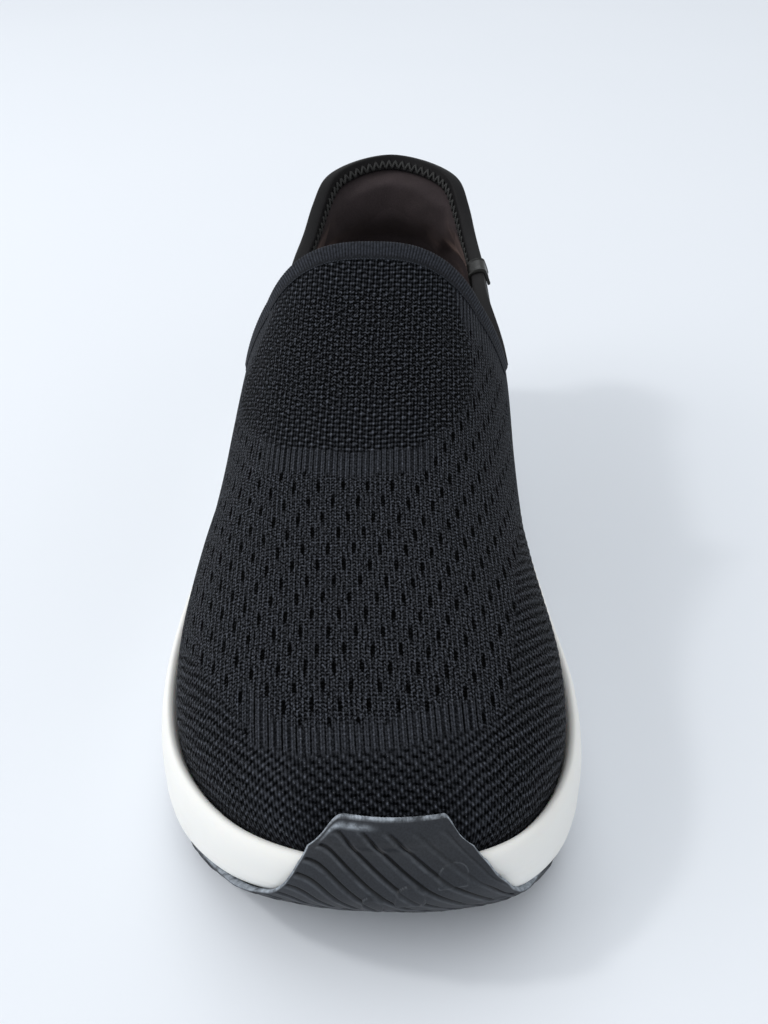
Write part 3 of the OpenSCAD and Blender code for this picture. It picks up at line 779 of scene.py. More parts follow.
def thread_finish(name, dark, light):
    """Twisted sewing thread."""
    f = Finish(name, Roughness=0.6, Specular_IOR_Level=0.4)
    twist = f.node("TexWave", {"wave_type": "BANDS", "bands_direction": "DIAGONAL"},
                   Vector=f.place(), Scale=620.0, Distortion=1.0)
    shade = f.mix(twist.outputs["Fac"], dark, light)
    return f.set(Base_Color=shade, Normal=f.bump(twist.outputs["Fac"], 0.5, 0.0001))


def lining_finish():
    """Brushed microfibre: brown-black, with a soft nap."""
    f = Finish("microfibre", Roughness=0.9, Sheen_Weight=0.45, Sheen_Roughness=0.35,
               Specular_IOR_Level=0.05)
    f.shader.inputs["Sheen Tint"].default_value = (0.60, 0.43, 0.38, 1)
    cloud = f.noise(130, 4.0)
    nap = f.noise(3800, 2.0)
    shade = f.mix(cloud, grey(0.026, (1.18, 0.96, 1.0)), grey(0.042, (1.22, 0.96, 1.02)))
    shade = f.vary(shade, nap, 0.3, 0.75, 0.7, 1.3)
    return f.set(Base_Color=shade, Normal=f.bump(nap, 0.25, 0.00006, f.bump(cloud, 0.15, 0.0004)))


def foam_finish(name, colour):
    """Open-cell foam."""
    f = Finish(name, Roughness=0.95, Specular_IOR_Level=0.15)
    cells = f.node("TexVoronoi", Vector=f.place(), Scale=1500.0).outputs["Distance"]
    shade = f.vary(colour, cells, 0.0, 0.35, 0.5, 1.1)
    return f.set(Base_Color=shade, Normal=f.bump(cells, 0.6, 0.0003))


def board_finish(name, colour):
    """Pressed fibre board or non-woven stiffener, with short crossing fibres."""
    f = Finish(name, Roughness=0.85, Specular_IOR_Level=0.2)
    one = f.noise(900, 2.0, vector=f.stretched(1, 0.18, 1))
    two = f.noise(900, 2.0, vector=f.stretched(0.18, 1, 1))
    fibres = f.math("MAXIMUM", one, two)
    shade = f.vary(colour, fibres, 0.4, 0.78, 0.75, 1.08)
    return f.set(Base_Color=shade, Normal=f.bump(fibres, 0.4, 0.0002))


def cloth_finish():
    """Woven cover of the insole: a plain weave with a little pilling."""
    f = Finish("insole_weave", Roughness=0.88, Sheen_Weight=0.35, Specular_IOR_Level=0.2)
    point = f.node("SeparateXYZ", Vector=f.place())
    warp = f.math("SINE", f.times(point.outputs[0], 7200))
    weft = f.math("SINE", f.times(point.outputs[1], 7200))
    weave = f.times(warp, weft)
    cloud = f.noise(160, 4.0)
    shade = f.mix(cloud, grey(0.012), grey(0.024, (1.0, 1.0, 1.08)))
    shade = f.vary(shade, f.range(weave, 0.0, 1.0, -1.0), 0.0, 0.6, 1.0, 1.35)
    return f.set(Base_Color=shade, Normal=f.bump(weave, 0.3, 0.00012, f.bump(cloud, 0.2, 0.0005)))


def midsole_finish():
    """Moulded EVA foam: warm white and matte, with a fine skin and faint scuffs low down."""
    f = Finish("eva_foam", Roughness=0.62, Specular_IOR_Level=0.35, Subsurface_Weight=0.08)
    f.shader.inputs["Subsurface Radius"].default_value = (0.004, 0.003, 0.002)
    f.shader.inputs["Subsurface Scale"].default_value = 0.6
    cloud = f.noise(38, 4.0)
    skin = f.noise(1700, 3.0)
    pores = f.node("TexVoronoi", Vector=f.place(), Scale=620.0).outputs["Distance"]
    shade = f.mix(cloud, (0.80, 0.795, 0.765, 1), (0.86, 0.858, 0.835, 1))
    low = f.node("SeparateXYZ", Vector=f.place()).outputs[2]
    scuff = f.times(f.range(low, 0.0, 1.0, 0.022, 0.004),
                   f.ramp(f.noise(240, 5.0, 0.7), (0.45, grey(0.0)), (0.75, grey(1.0))))
    shade = f.mix(f.times(scuff, 0.4), shade, (0.52, 0.50, 0.46, 1))
    rough = f.range(cloud, 0.55, 0.72)
    bumped = f.bump(pores, 0.06, 0.0002, f.bump(skin, 0.10, 0.00008))
    return f.set(Base_Color=shade, Roughness=rough, Normal=bumped)


def rubber_finish():
    """Charcoal rubber: satin and dusty; paler where its attribute says, from wear and, on the toe
    wrap, painted highlights; and near black along the toe wrap's grooves as painted shade.
    """
    f = Finish("outsole_rubber", Specular_IOR_Level=0.25)
    cloud = f.noise(60, 5.0, 0.6)
    grain = f.noise(2400, 2.0)
    shade = f.mix(cloud, grey(0.018, (0.88, 0.99, 1.2)), grey(0.032, (0.88, 0.99, 1.22)))
    shade = f.vary(shade, grain, 0.3, 0.8, 0.75, 1.25)
    # Paler rubber: wear, and on the toe wrap also painted highlights.
    wear_and_painted_highlight = f.times(f.attribute("wear_and_painted_highlight").outputs["Fac"],
                  f.ramp(f.noise(420, 4.0, 0.7), (0.32, grey(0.1)), (0.62, grey(1.0))))
    shade = f.mix(wear_and_painted_highlight, shade, (0.36, 0.40, 0.45, 1))
    # Painted shade: near black along the toe wrap's grooves.
    groove = f.times(f.attribute("groove").outputs["Fac"], 0.95)
    shade = f.mix(groove, shade, grey(0.002))
    rough = f.range(cloud, 0.42, 0.62)
    return f.set(Base_Color=shade, Roughness=rough, Normal=f.bump(grain, 0.22, 0.0001))


def sleeve_finish():
    """Glossy black heat-set sleeve."""
    f = Finish("gloss_sleeve", Specular_IOR_Level=0.22)
    cloud = f.noise(300, 4.0)
    shade = f.mix(cloud, grey(0.004), grey(0.012, (1.0, 1.02, 0.96)))
    rough = f.range(cloud, 0.25, 0.45)
    return f.set(Base_Color=shade, Roughness=rough, Normal=f.bump(cloud, 0.3, 0.0004))


def dress(piece, finish, body, slot, *nodes):
    """Gives a piece its finish and body, and hides the CAD nodes that it stands for. slot is not
    used.
    """
    piece.data.materials.clear()
    piece.data.materials.append(finish)
    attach(piece, body)
    if nodes:
        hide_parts(*nodes)
    return piece


# ---------------------------------------------------------------- sole

def ring_t(count):
    """Values of t all round the outline, evenly spaced, the same on both sides."""
    t = np.linspace(0, HEEL_T, 4001)
    run = lengths(np.c_[inset(t, np.full(t.shape, 4.0)), 0 * t])
    half = np.interp(np.linspace(0, run[-1], count // 2 + 1), run, t)
    half[0], half[-1] = 0, HEEL_T
    return np.concatenate([half, 2 * HEEL_T - half[-2:0:-1]])


def ring(t, d, height):
    p = inset(t, np.broadcast_to(d, t.shape))
    return np.c_[p, height(p[:, 1])]


def bridged(ring_points, across, height):
    """Closes a ring across the shoe: points between each outer point and its mate inside."""
    n = len(ring_points)
    half = n // 2
    near = ring_points[np.arange(half + 1)]
    far = ring_points[(n - np.arange(half + 1)) % n]
    f = np.linspace(0, 1, across)[None, :, None]
    grid = near[:, None] * (1 - f) + far[:, None] * f
    grid[..., 2] = height(grid, f[..., 0])
    grid[:, 0], grid[:, -1] = near, far
    return grid


def stacked(name, rings, bottom, top):
    """A closed piece from a grid of rings and the two grids that close it."""
    rows, cols = rings.shape[:2]
    faces = [grid_faces(rows, cols, wrap_cols=True)]
    points = [rings.reshape(-1, 3)]
    first = rows * cols
    for cap in (bottom, top):
        faces.append(grid_faces(*cap.shape[:2], first=first))
        points.append(cap.reshape(-1, 3))
        first += cap.shape[0] * cap.shape[1]
    return tidy(add_mesh(name, np.concatenate(points), np.concatenate(faces)), 5e-6)


WALL_RINGS = [(2.4, 0, 0), (0.4, 0.2, 0), (0, 0.62, 0), (0.6, 0.88, 0), (1.9, 1, 0), (3.4, 1, -0.2),
              (4.38, 1, -2)]


def midsole(finish):
    t = ring_t(820)
    control = []
    for d, part, lift in WALL_RINGS:
        p = inset(t, np.full(t.shape, d))
        control.append(np.c_[p, underside(p[:, 1]) * (1 - part) + rim(p[:, 1]) * part + lift])
    control = np.array(control)
    f = np.concatenate([np.linspace(0, 4, 57)[:-1], np.linspace(4, 6, 17)])
    rings = through(control, f)
    outward = np.c_[outline(t) - inset(t, np.ones(t.shape)), 0 * t]
    outward = unit(outward)
    part = (f / 2.05)[:, None]
    s = rings[..., 1] / LONG
    parting = np.exp(-((part - 0.62 - 0.05 * np.sin(s / 17)) / 0.018) ** 2)
    inner_side = smooth((rings[..., 0] + 5) / 20)
    line = np.exp(-((part - 0.86 + 0.1 * smooth((s - 20) / 60)) / 0.014) ** 2) * inner_side
    ticks = inner_side * smooth((s - 12) / 10) * smooth((60 - s) / 15) \
        * np.exp(-((part - 1.15) / 0.16) ** 2)
    flutes = 0.5 - 0.5 * np.cos(2 * math.pi * (s - 26 * part) / 19)
    sides = smooth((s - 70) / 25) * smooth((262 - s) / 25)
    scoop = sides * smooth((part - 0.22) / 0.2) * smooth((1.2 - part) / 0.3) * flutes ** 3
    rings = rings + outward[None] * (0.10 * parting - 0.12 * line - 0.55 * scoop
                                             + 0.05 * ticks * np.sin(s * 4.2))[..., None]
    bottom = bridged(rings[0], 25, lambda g, a: underside(g[..., 1])
                     + 1.6 * smooth((s_of(g) - 172) / 12) * smooth((212 - s_of(g)) / 12)
                     * np.sin(math.pi * a) ** 2)
    bed = ring(t, 5.88, footbed)
    rings = np.concatenate([rings, bed[None]])
    top = bridged(bed, 15, lambda g, a: footbed(g[..., 1]))
    piece = stacked("midsole_eva", rings, bottom, top)
    return dress(piece, finish, "shoe", "midsole_foam", "midsole")


TREAD_INSET = 3.2
TREAD_PITCH = 15
WAIST, WAIST_RADIUS = 192, 34   # round gap between the two outsoles


def lookup(line, s):
    order = np.argsort(line[:, 1])
    return np.interp(s, line[order, 1], line[order, 0])


def tread_depth(x, s, heel):
    """Depth of the tread's grooves and sipes at a point of the underside."""
    lean = math.tan(math.radians(35 if heel else -35))
    start, stop = (212, 268) if heel else (40, 160)
    phase = (s - start - x * lean) / TREAD_PITCH
    across = TREAD_PITCH * math.cos(math.radians(35))
    near = np.abs(phase - np.round(phase)) * across
    inside = (np.round(phase) >= 0) & (np.round(phase) <= (stop - start) // TREAD_PITCH)
    groove = smooth((1.35 - near) / 0.35) * inside
    half = np.abs(phase - np.floor(phase) - 0.5) * across
    sipe = smooth((0.45 - half) / 0.25) * 0.35 * smooth((30 - np.abs(x)) / 5)
    toe = 0
    if not heel:
        fine = (s + x * 0.9) / 6.2
        near = np.abs(fine - np.round(fine)) * 6.2 * 0.74
        toe = smooth((0.5 - near) / 0.3) * smooth((36 - s) / 3) * 0.35
    return 1.8 * np.maximum(np.maximum(groove, sipe), toe)


def tread(name, finish, heel):
    """One block of the outsole: a slab with grooves, rounded at its edges."""
    start, stop = (206, 283) if heel else (3.6, 178)
    left, right = (lambda s: lookup(LEFT_LINE, s)), (lambda s: lookup(RIGHT_LINE, s))
    rows, cols = (205, 225) if heel else (290, 168)
    b = np.linspace(0, 1, cols)[None]
    b = b - 0.08 * np.sin(2 * math.pi * b)
    end = np.full(cols, (start if heel else stop) * LONG, float)
    x_end = left(end) + (right(end) - left(end)) * b[0]
    notch = np.sqrt(np.maximum(WAIST_RADIUS ** 2 - x_end ** 2, 0))
    if heel:
        end = np.maximum(start * LONG, np.where(notch > 0, WAIST * LONG + notch, 0))
        a = np.linspace(0, 1, rows)[:, None]
        s = end[None] + (stop * LONG - end[None]) * a
    else:
        end = np.minimum(stop * LONG, np.where(notch > 0, WAIST * LONG - notch, 1e9))
        a = np.linspace(0, 1, rows)[:, None]
        s = start * LONG + (end[None] - start * LONG) * a
    x = left(s) + (right(s) - left(s)) * b
    to_side = np.minimum(x - left(s), right(s) - x)
    to_end = np.minimum(np.abs(s - s[:1]), np.abs(s[-1:] - s))
    edge = np.minimum(to_side, to_end + 0.3)
    radius = 1.1
    fillet = radius - np.sqrt(np.maximum(radius ** 2 - (radius - np.clip(edge, 0, radius)) ** 2, 0))
    under = underside(s) - GAP
    flat = np.maximum(underside(s) - RUBBER, 0)
    carved = tread_depth(x, s / LONG, heel) * smooth(edge / 1.2 + 0.25)
    z = np.minimum(flat + fillet + carved, under - 0.8)
    low = np.stack([x, s, z], -1)
    high = np.stack([x, s, under], -1)
    # On the treads this holds only wear: paler on the faces that touch the ground.
    wear_and_painted_highlight = smooth((edge - 0.2) / 0.8) * smooth(1 - (z - flat) / 0.4) * 0.35
    piece = closed_shell(name, low, high, {"wear_and_painted_highlight": wear_and_painted_highlight.ravel()})
    return dress(piece, finish, "shoe", "outsole_rubber",
                 "outsole_heel" if heel else "outsole_forefoot")


EDGE_T = np.linspace(0.02, 11.98, 2000)
LEFT_LINE = inset(EDGE_T, np.full(EDGE_T.shape, TREAD_INSET))
RIGHT_LINE = inset(-EDGE_T, TREAD_INSET + 1.6 * smooth((EDGE_T - 0.8) / 1.2)
                   * smooth((7 - EDGE_T) / 2))

# The toe wrap: reach left and right, then inset and height part of the outer and inner skins
WRAP_WALL = [(63, 63, 7, -0.2, 7, -0.06), (61, 61, 2.6, -0.18, 4.2, -0.06),
             (40, 38, 0.5, -0.02, 2.4, 0.04), (28.5, 30.5, -0.9, 0.12, 0.8, 0.16),
             (23.6, 26.8, -2, 0.42, -0.4, 0.43), (21, 23.8, -1.9, 0.72, -0.3, 0.73),
             (19.6, 21.8, -0.7, 0.98, 1, 0.97)]
WRAP_RIM = [(18.7, 20.2, 0.6, 1.9, 1.7, 0.3), (18.1, 19, 2.2, 3.6, 4.1, 0.7)]
WRAP_KNIT = [(17.4, 17.8, 5.8), (16.6, 16.8, 8.4)]
TIP_SPEED = 21
WRAP_T = -0.09                  # where the wrap's middle lies on the outline
GROOVE_PITCH = 5.75             # distance across between the slanted grooves
LUGS = [(-4, 15, 2.5, 1.0), (4, 17, 3.5, 1.0), (13.2, 21.5, 3.4, 0.5)]  # centre, base, radius, rise


def knit_top(x, s):
    """Height of the knit's face above a point of the plan, near the toe."""
    t = np.linspace(0, 3, 900)
    b, o = inset(t, np.full(t.shape, FEATHER)), inset(-t, np.full(t.shape, FEATHER))
    mean = (b[:, 1] + o[:, 1]) / 2
    left = np.interp(s, mean, b[:, 0])
    right = np.interp(s, mean, o[:, 0])
    base = rim(s) - FEATHER_DROP
    e = curve(SQUARE, s / LONG)
    r = np.clip(np.abs(2 * x - left - right) / np.maximum(right - left, 0.1), 0, 1)
    return base + np.maximum(curve(RIDGE, s / LONG) - base, 0.3) * (1 - r ** (2 / e)) ** (e / 2)


def wrap_skin(f, outer):
    """Control rows of one skin of the toe wrap, at positions f from -1 to 1 across it."""
    def spot(left, right, d):
        return inset(WRAP_T + np.where(f > 0, left, right) * f / TIP_SPEED, np.full(f.shape, d))

    rows = []
    for left, right, *skins in WRAP_WALL:
        d, part = skins[:2] if outer else skins[2:]
        p = spot(left, right, d)
        part = part - 0.07 * f * np.exp(-((part - 0.3) / 0.3) ** 2)
        z = underside(p[:, 1]) * (1 - part) + rim(p[:, 1]) * part
        rows.append(np.c_[p, np.maximum(z, underside(p[:, 1]) - 3.2 + (0 if outer else 0.8))])
    for left, right, *skins in WRAP_RIM:
        d, lift = skins[:2] if outer else skins[2:]
        p = spot(left, right, d)
        rows.append(np.c_[p, rim(p[:, 1]) + lift])
    for left, right, d in WRAP_KNIT:
        p, q = spot(left, right, d), spot(left, right, d - (1.2 if outer else 0))
        rows.append(np.c_[q, knit_top(p[:, 0], p[:, 1]) + 0.5 + (1.2 if outer else 0)])
    return np.array(rows)


def toe_wrap(finish):
    """Rubber carried up over the toe, with slanted grooves and a few raised lugs."""
    middle = 140
    f = np.linspace(-1, 1, 2 * middle + 1)
    share = np.linspace(0, 1, 150)
    far = np.abs(f)
    last = 10 - np.where(f > 0, 2.0 * np.clip((far - 0.62) / 0.38, 0, 1) ** 2.2,
                         2.0 * np.clip((far - 0.76) / 0.24, 0, 1) ** 1.4)
    skins = []
    for outer in (True, False):
        rows = wrap_skin(f, outer)
        skins.append(np.stack([through(rows[:, j], share * last[j]) for j in range(len(f))], 1))
    outer, inner = skins
    normals = unit(np.cross(np.gradient(outer, axis=0), np.gradient(outer, axis=1)))
    if normals[60, middle, 1] > 0:
        normals = -normals
    up = lengths(outer, 0)
    run = lengths(outer, 1)
    a = outer[..., 0] - outer[:, middle, None, 0]
    top = up[-1:] - up
    side = np.minimum(run, run[:, -1:] - run)
    edge = np.minimum(top, side)
    level = up[:, middle, None]
    phase = (a + 1.08 * level - 27.8) / GROOVE_PITCH
    near = (phase - np.round(phase)) * GROOVE_PITCH * 0.68
    field = smooth((top - 3.3) / 0.8) * smooth((side - 1.3) / 0.8) * smooth((up - 4.6) / 1.2)
    faint = smooth((phase - 0.6) / 1.4) * smooth((level - 14) / 5)
    lugs = 0
    for centre, base, radius, rise in LUGS:
        reach = np.sqrt((a - centre) ** 2 + (np.maximum(level - base, 0) * 1.1) ** 2)
        inside = smooth((radius - reach) / 0.6) * smooth((level - base + 3.5) / 1)
        lugs = np.maximum(lugs, inside * rise)
    shown = field * (1 - 0.7 * faint) * (1 - 0.6 * smooth(lugs))
    groove = smooth((0.5 - np.abs(near)) / 0.45) * shown
    # Painted shade: this mask darkens the rubber's colour to near black along the grooves.
    line = smooth((0.36 - np.abs(near)) / 0.26) * shown
    ridge = smooth((0.6 - np.abs(near + 0.9)) / 0.6) * field * (1 - 0.6 * faint)
    height = 0.08 * ridge - 0.5 * groove + 0.6 * lugs
    lip = smooth((1.5 - edge) / 1.2)
    nibble = np.sin(a * 5.1) * np.sin(a * 2.3 + 1) + 0.5 * np.sin(a * 8.7 + 2)
    height = height - 0.5 * lip ** 2 + 0.09 * lip * nibble * (top < 1.6)
    outer = outer + normals * height[..., None]
    # Paler rubber: along the wrap's edges partly wear and partly a painted highlight on the top
    # edge; a pale streak just below the top edge on the outer side; painted highlights on one lip
    # of each groove and on the lugs' rims.
    streak = smooth(1 - np.abs(top - 2.4) / 1.1) * smooth((-2 - a) / 6) * smooth((a + 16) / 3)
    brink = smooth((lugs - 0.05) / 0.1) * smooth((0.42 - lugs) / 0.15) \
        * smooth((phase - np.round(phase)) * 8)
    wear_and_painted_highlight = np.clip(1.4 * smooth((1.0 - edge) / 0.6) + 0.9 * streak + 0.1 * ridge
                   + 0.16 * brink, 0, 1)
    piece = closed_shell("toe_wrap", outer, inner, {"wear_and_painted_highlight": wear_and_painted_highlight.ravel(), "groove": line.ravel()})
    return dress(piece, finish, "shoe", "outsole_rubber", "outsole_forefoot")


# ---------------------------------------------------------------- edges of the upper

def rear_edge(k):
    """Topline behind the collar: points, outward and upward unit vectors."""
    point = rear_frame(k, np.ones(k.shape))
    below = rear_frame(k, np.full(k.shape, 0.97))
    up = unit(point - below)
    along = unit(np.gradient(point, axis=0))
    out = unit(np.cross(up, along))
    centre = np.array([0, 200.0, 0])
    flip = np.sign(np.sum(out * (point - centre) * [1, 1, 0], -1, keepdims=True))
    return point, out * flip, up


def collar_edge(count):
    """Front edge of the collar, from the outer side over the instep to the inner side."""
    q = np.linspace(collar_low_v(-1) - 1, 1 - collar_low_v(1), 1201)
    point = over_front(np.full(q.shape, float(COLLAR_T)), q)
    before = over_front(np.full(q.shape, COLLAR_T - 0.03), q)
    run = lengths(point)
    spots = np.linspace(0, run[-1], count)
    point, before = (read_at(spots, run, p) for p in (point, before))
    along = unit(np.gradient(point, axis=0))
    up = unit(point - before)
    up = unit(up - along * np.sum(up * along, -1, keepdims=True))
    out = unit(np.cross(along, up))
    if out[count // 2, 2] < 0:
        out = -out
    return point, out, up, spots


def collar_low_v(side):
    """Share of the collar's arch that lies below the topline on one side."""
    base = rim(COLLAR_S * LONG) - FEATHER_DROP
    part = (COLLAR_LOW - base) / (COLLAR_HIGH - base)
    return float(np.arcsin(part ** (1 / squareness(COLLAR_S, side))) / (math.pi / 2))


def fold_path(offset, drop, inner_drop, lean):
    """A path that wraps an edge: down the outside, over the top and down the inside."""
    half = WALL / 2 + offset
    turn = np.linspace(0, math.pi, 15)
    arch = np.c_[-WALL / 2 + half * np.sign(np.cos(turn)) * np.abs(np.cos(turn)) ** 0.8,
                 (offset + 0.1) * np.sin(turn) ** 0.8]
    n_out = max(int(drop / 0.45), 3)
    n_in = max(int(inner_drop / 0.45), 3)
    outside = np.c_[np.full(n_out, offset), np.linspace(-drop, 0, n_out, endpoint=False)]
    q = np.linspace(0, inner_drop, n_in + 1)[1:]
    inside = np.c_[-WALL - offset - lean * (q / inner_drop) ** 1.5, -q]
    return np.concatenate([outside, arch, inside])


def fold_profile(inner, outer, drop, inner_drop, lean=0.0):
    """Closed cross-section of a folded tape between two offsets from the wall."""
    a = fold_path(outer, drop, inner_drop, lean)
    b = fold_path(inner, drop, inner_drop, lean)
    a[0] = (a[0] + [inner + 0.35, -drop]) / 2
    a[-1] = (a[-1] + b[-1]) / 2
    return np.concatenate([a, b[::-1]]), len(a)


def along_path(profile, count):
    return np.broadcast_to(profile, (count,) + profile.shape).copy()


def collar_band(finish):
    """Ribbed band over the front edge of the collar."""
    count = 760
    point, out, up, run = collar_edge(count)
    profile, skin = fold_profile(0.14, 0.95, 5.2, 3.4)
    drop = np.clip(-profile[:skin, 1] / 5.2, 0, 1) * (profile[:skin, 0] > 0)
    profile[:skin, 0] -= 0.8 * smooth(drop * 1.15)
    rib = 0.5 + 0.5 * np.cos(2 * math.pi * run / 0.92)
    profile = along_path(profile, count)
    direction = unit(profile - np.array([-WALL / 2, -3.0]))
    where = np.zeros(profile.shape[1])
    where[1:skin - 1] = 1
    profile += direction * (0.1 * (rib - 0.6))[:, None, None] * where[None, :, None]
    # height sets the band's colour: darker towards the band's lower edge, and darker in the valleys
    # between the ribs as painted shade.
    height = np.ones(profile.shape[1])
    height[:skin] -= 0.75 * smooth((drop - 0.55) / 0.45)
    height = (0.35 + 0.65 * rib[:, None]) * height[None]
    piece = swept("collar_rib_band", point, out, up, profile, {"height": height.ravel()})
    return dress(piece, finish, "shoe", "knit_band", "collar_band")


def edge_samples(start, stop, step):
    k = np.linspace(start, stop, 3001)
    run = lengths(rear_frame(k, np.ones(k.shape)))
    spots = np.linspace(0, run[-1], max(int(run[-1] / step), 4))
    return np.interp(spots, run, k), spots


def binding(finish):
    """Smooth tape folded over the topline."""
    k, run = edge_samples(0.4, K_END - 0.4, 0.8)
    point, out, up = rear_edge(k)
    profile, skin = fold_profile(0.14, 1.0, 3.2, 4.6, lean=0.8)
    profile = along_path(profile, len(k))
    pucker = 0.05 * np.cos(2 * math.pi * run / 2.3) + 0.05 * np.sin(run * 0.9) * np.sin(run * 0.31)
    low = np.zeros(profile.shape[1])
    low[skin - 9:skin - 1] = 1
    profile[..., 0] -= pucker[:, None] * low[None]
    piece = swept("collar_binding_tape", point, out, up, profile)
    return dress(piece, finish, "shoe", "binding_tape", "collar_binding")


STROKE = 1.6                    # length of tape that one stroke of the zigzag takes


def zigzag(finish):
    """Overlock stitches just inside the binding's fold."""
    for name, start, stop in (("stitch_lateral", 1.0, 2.7), ("stitch_heel", 3.75, 22.95),
                              ("stitch_medial", 24.05, 27.0)):
        k, run = edge_samples(start, stop, STROKE / 8)
        point, out, up = rear_edge(k)
        phase = run / STROKE
        tri = np.abs((phase / 2 - np.floor(phase / 2)) * 2 - 1)
        down = 1.4 + 2.7 * tri
        lean = 0.8 * (down / 4.6) ** 1.5
        arch = 0.3 * np.sin(math.pi * (phase - np.floor(phase)))
        path = point - out * (WALL + 1.0 + lean + 0.12 + arch)[:, None] - up * down[:, None]
        side, top = frames_along(path)
        angle = np.linspace(0, 2 * math.pi, 8, endpoint=False)
        circle = 0.5 * np.c_[np.cos(angle), np.sin(angle)]
        piece = swept(name, path, side, top, np.broadcast_to(circle, (len(path), 8, 2)))
        dress(piece, finish, "shoe", "stitching_dark", "binding_stitch")


def sleeve(name, finish, start, stop, node):
    """Short glossy sleeve round the binding."""
    k, run = edge_samples(start, stop, 0.25)
    point, out, up = rear_edge(k)
    profile, skin = fold_profile(1.02, 1.85, 4.4, 4.4, lean=0.5)
    profile = along_path(profile, len(k))
    f = run / run[-1]
    bead = 0.28 * np.exp(-((f - 0.06) / 0.05) ** 2) + 0.28 * np.exp(-((f - 0.94) / 0.05) ** 2)
    taper = -0.6 * (1 - smooth(f / 0.05)) - 0.6 * (1 - smooth((1 - f) / 0.05))
    direction = unit(profile - np.array([-WALL / 2, -2.0]))
    where = np.zeros(profile.shape[1])
    where[:skin] = 1
    profile += direction * (bead + taper)[:, None, None] * where[None, :, None]
    piece = swept(name, point, out, up, profile)
    return dress(piece, finish, "shoe", "sleeve", node)


# ---------------------------------------------------------------- linings, foams and insole

LOW_ROWS = [(0, 0), (0.2, 0), (0.4, 0.12), (0.6, 1), (0.78, 1), (0.9, 0.12), (1, 0)]


def foam_here(k):
    from_heel = np.abs(k - K_HEEL)
    roll = (1 + np.cos(math.pi * np.minimum(from_heel / 4, 1))) / 2
    return SIDE_FOAM * smooth((13 - from_heel) / 3) + (HEEL_FOAM - SIDE_FOAM) * roll


def counter_here(k, v):
    return COUNTER * np.clip((11 - np.abs(k - K_HEEL)) / 2, 0, 1) * smooth((0.45 - v) / 0.08)


def rear_normals(points):
    normals = grid_normals(points)
    middle = points.shape[0] // 2
    return normals if normals[middle, 3, 1] > 0 else -normals


def puff_up(piece, free, pressure, cap):
    """Inflates the free points of a closed pad by cloth simulation, and keeps them within cap."""
    before = np.zeros(len(piece.data.vertices) * 3)
    piece.data.vertices.foreach_get("co", before)
    group = piece.vertex_groups.new(name="held")
    for index in np.nonzero(~free)[0]:
        group.add([int(index)], 1.0, "REPLACE")
    cloth = piece.modifiers.new("cloth", "CLOTH")
    cloth.settings.vertex_group_mass = "held"
    cloth.settings.use_pressure = True
    cloth.settings.uniform_pressure_force = pressure
    cloth.settings.shrink_min = -0.03       # lets the cloth grow a little
    cloth.settings.effector_weights.gravity = 0
    cloth.collision_settings.use_collision = False
    scene = bpy.context.scene
    for number in range(1, 21):
        scene.frame_set(number)
    shaped = piece.evaluated_get(bpy.context.evaluated_depsgraph_get())
    after = np.array([v.co[:] for v in shaped.data.vertices]).ravel()
    piece.modifiers.remove(cloth)
    piece.vertex_groups.remove(group)
    scene.frame_set(1)
    move = (after - before).reshape(-1, 3)
    far = np.linalg.norm(move, axis=1, keepdims=True)
    move *= np.minimum(1, cap / 1000 / np.maximum(far, 1e-9))
    piece.data.vertices.foreach_set("co", (before.reshape(-1, 3) + move).ravel())
    piece.data.update()
    return piece


def subdivide(piece):
    """Applies one subdivision to the mesh."""
    modifier = piece.modifiers.new("smooth", "SUBSURF")
    modifier.levels = modifier.render_levels = 1
    shaped = piece.evaluated_get(bpy.context.evaluated_depsgraph_get())
    mesh = bpy.data.meshes.new_from_object(shaped)
    piece.modifiers.remove(modifier)
    old = piece.data
    piece.data = mesh
    bpy.data.meshes.remove(old)
    return piece


def heel_linings(lining, foam_side, foam_roll):
    """Microfibre lining of the rear, puffed up over its foams, and the foams under it."""
    k = rear_columns(2.3)[0]
    v = np.linspace(0, 1, 30)
    points = rear_frame(k[:, None], v[None])
    normals = rear_normals(points)
    swell = foam_here(k)[:, None] * curve(LOW_ROWS, v)[None]
    stack = KNIT + GAP + counter_here(k[:, None], v[None])
    low = points - normals * (stack + 0.05)[..., None]
    back_skin = points - normals * (stack + np.maximum(swell, 0))[..., None]
    face_skin = points - normals * (stack + swell + LINING)[..., None]
    piece = plain_shell("heel_lining_microfibre", back_skin, face_skin)
    share = (curve(LOW_ROWS, v)[None] > 0.05) & (np.abs(k[:, None] - K_HEEL) < 12.4)
    free = np.concatenate([np.zeros(share.size, bool), share.ravel()])
    puff_up(piece, free, 4.0, 1.6)
    tidy(subdivide(piece), 1e-6)
    dress(piece, lining, "shoe", "lining", "heel_lining")
    rows = np.nonzero((v > 0.41) & (v < 0.9))[0]
    for name, a, b, finish, node in (
            ("foam_lateral", 2, 10, foam_side, "collar_foam_lateral"),
            ("foam_heel_roll", 10, 18, foam_roll, "heel_pillow"),
            ("foam_medial", 18, 26, foam_side, "collar_foam_medial")):
        columns = np.nonzero((k >= a + 0.05) & (k <= b - 0.05))[0]
        pick = np.ix_(columns, rows)
        depth = stack[pick] + np.maximum(swell[pick] - 0.15, 0.3)
        inside = points[pick] - normals[pick] * depth[..., None]
        pad = plain_shell(name, low[pick], inside)
        tidy(subdivide(pad), 1e-6)
        dress(pad, finish, "shoe", "padding", node)


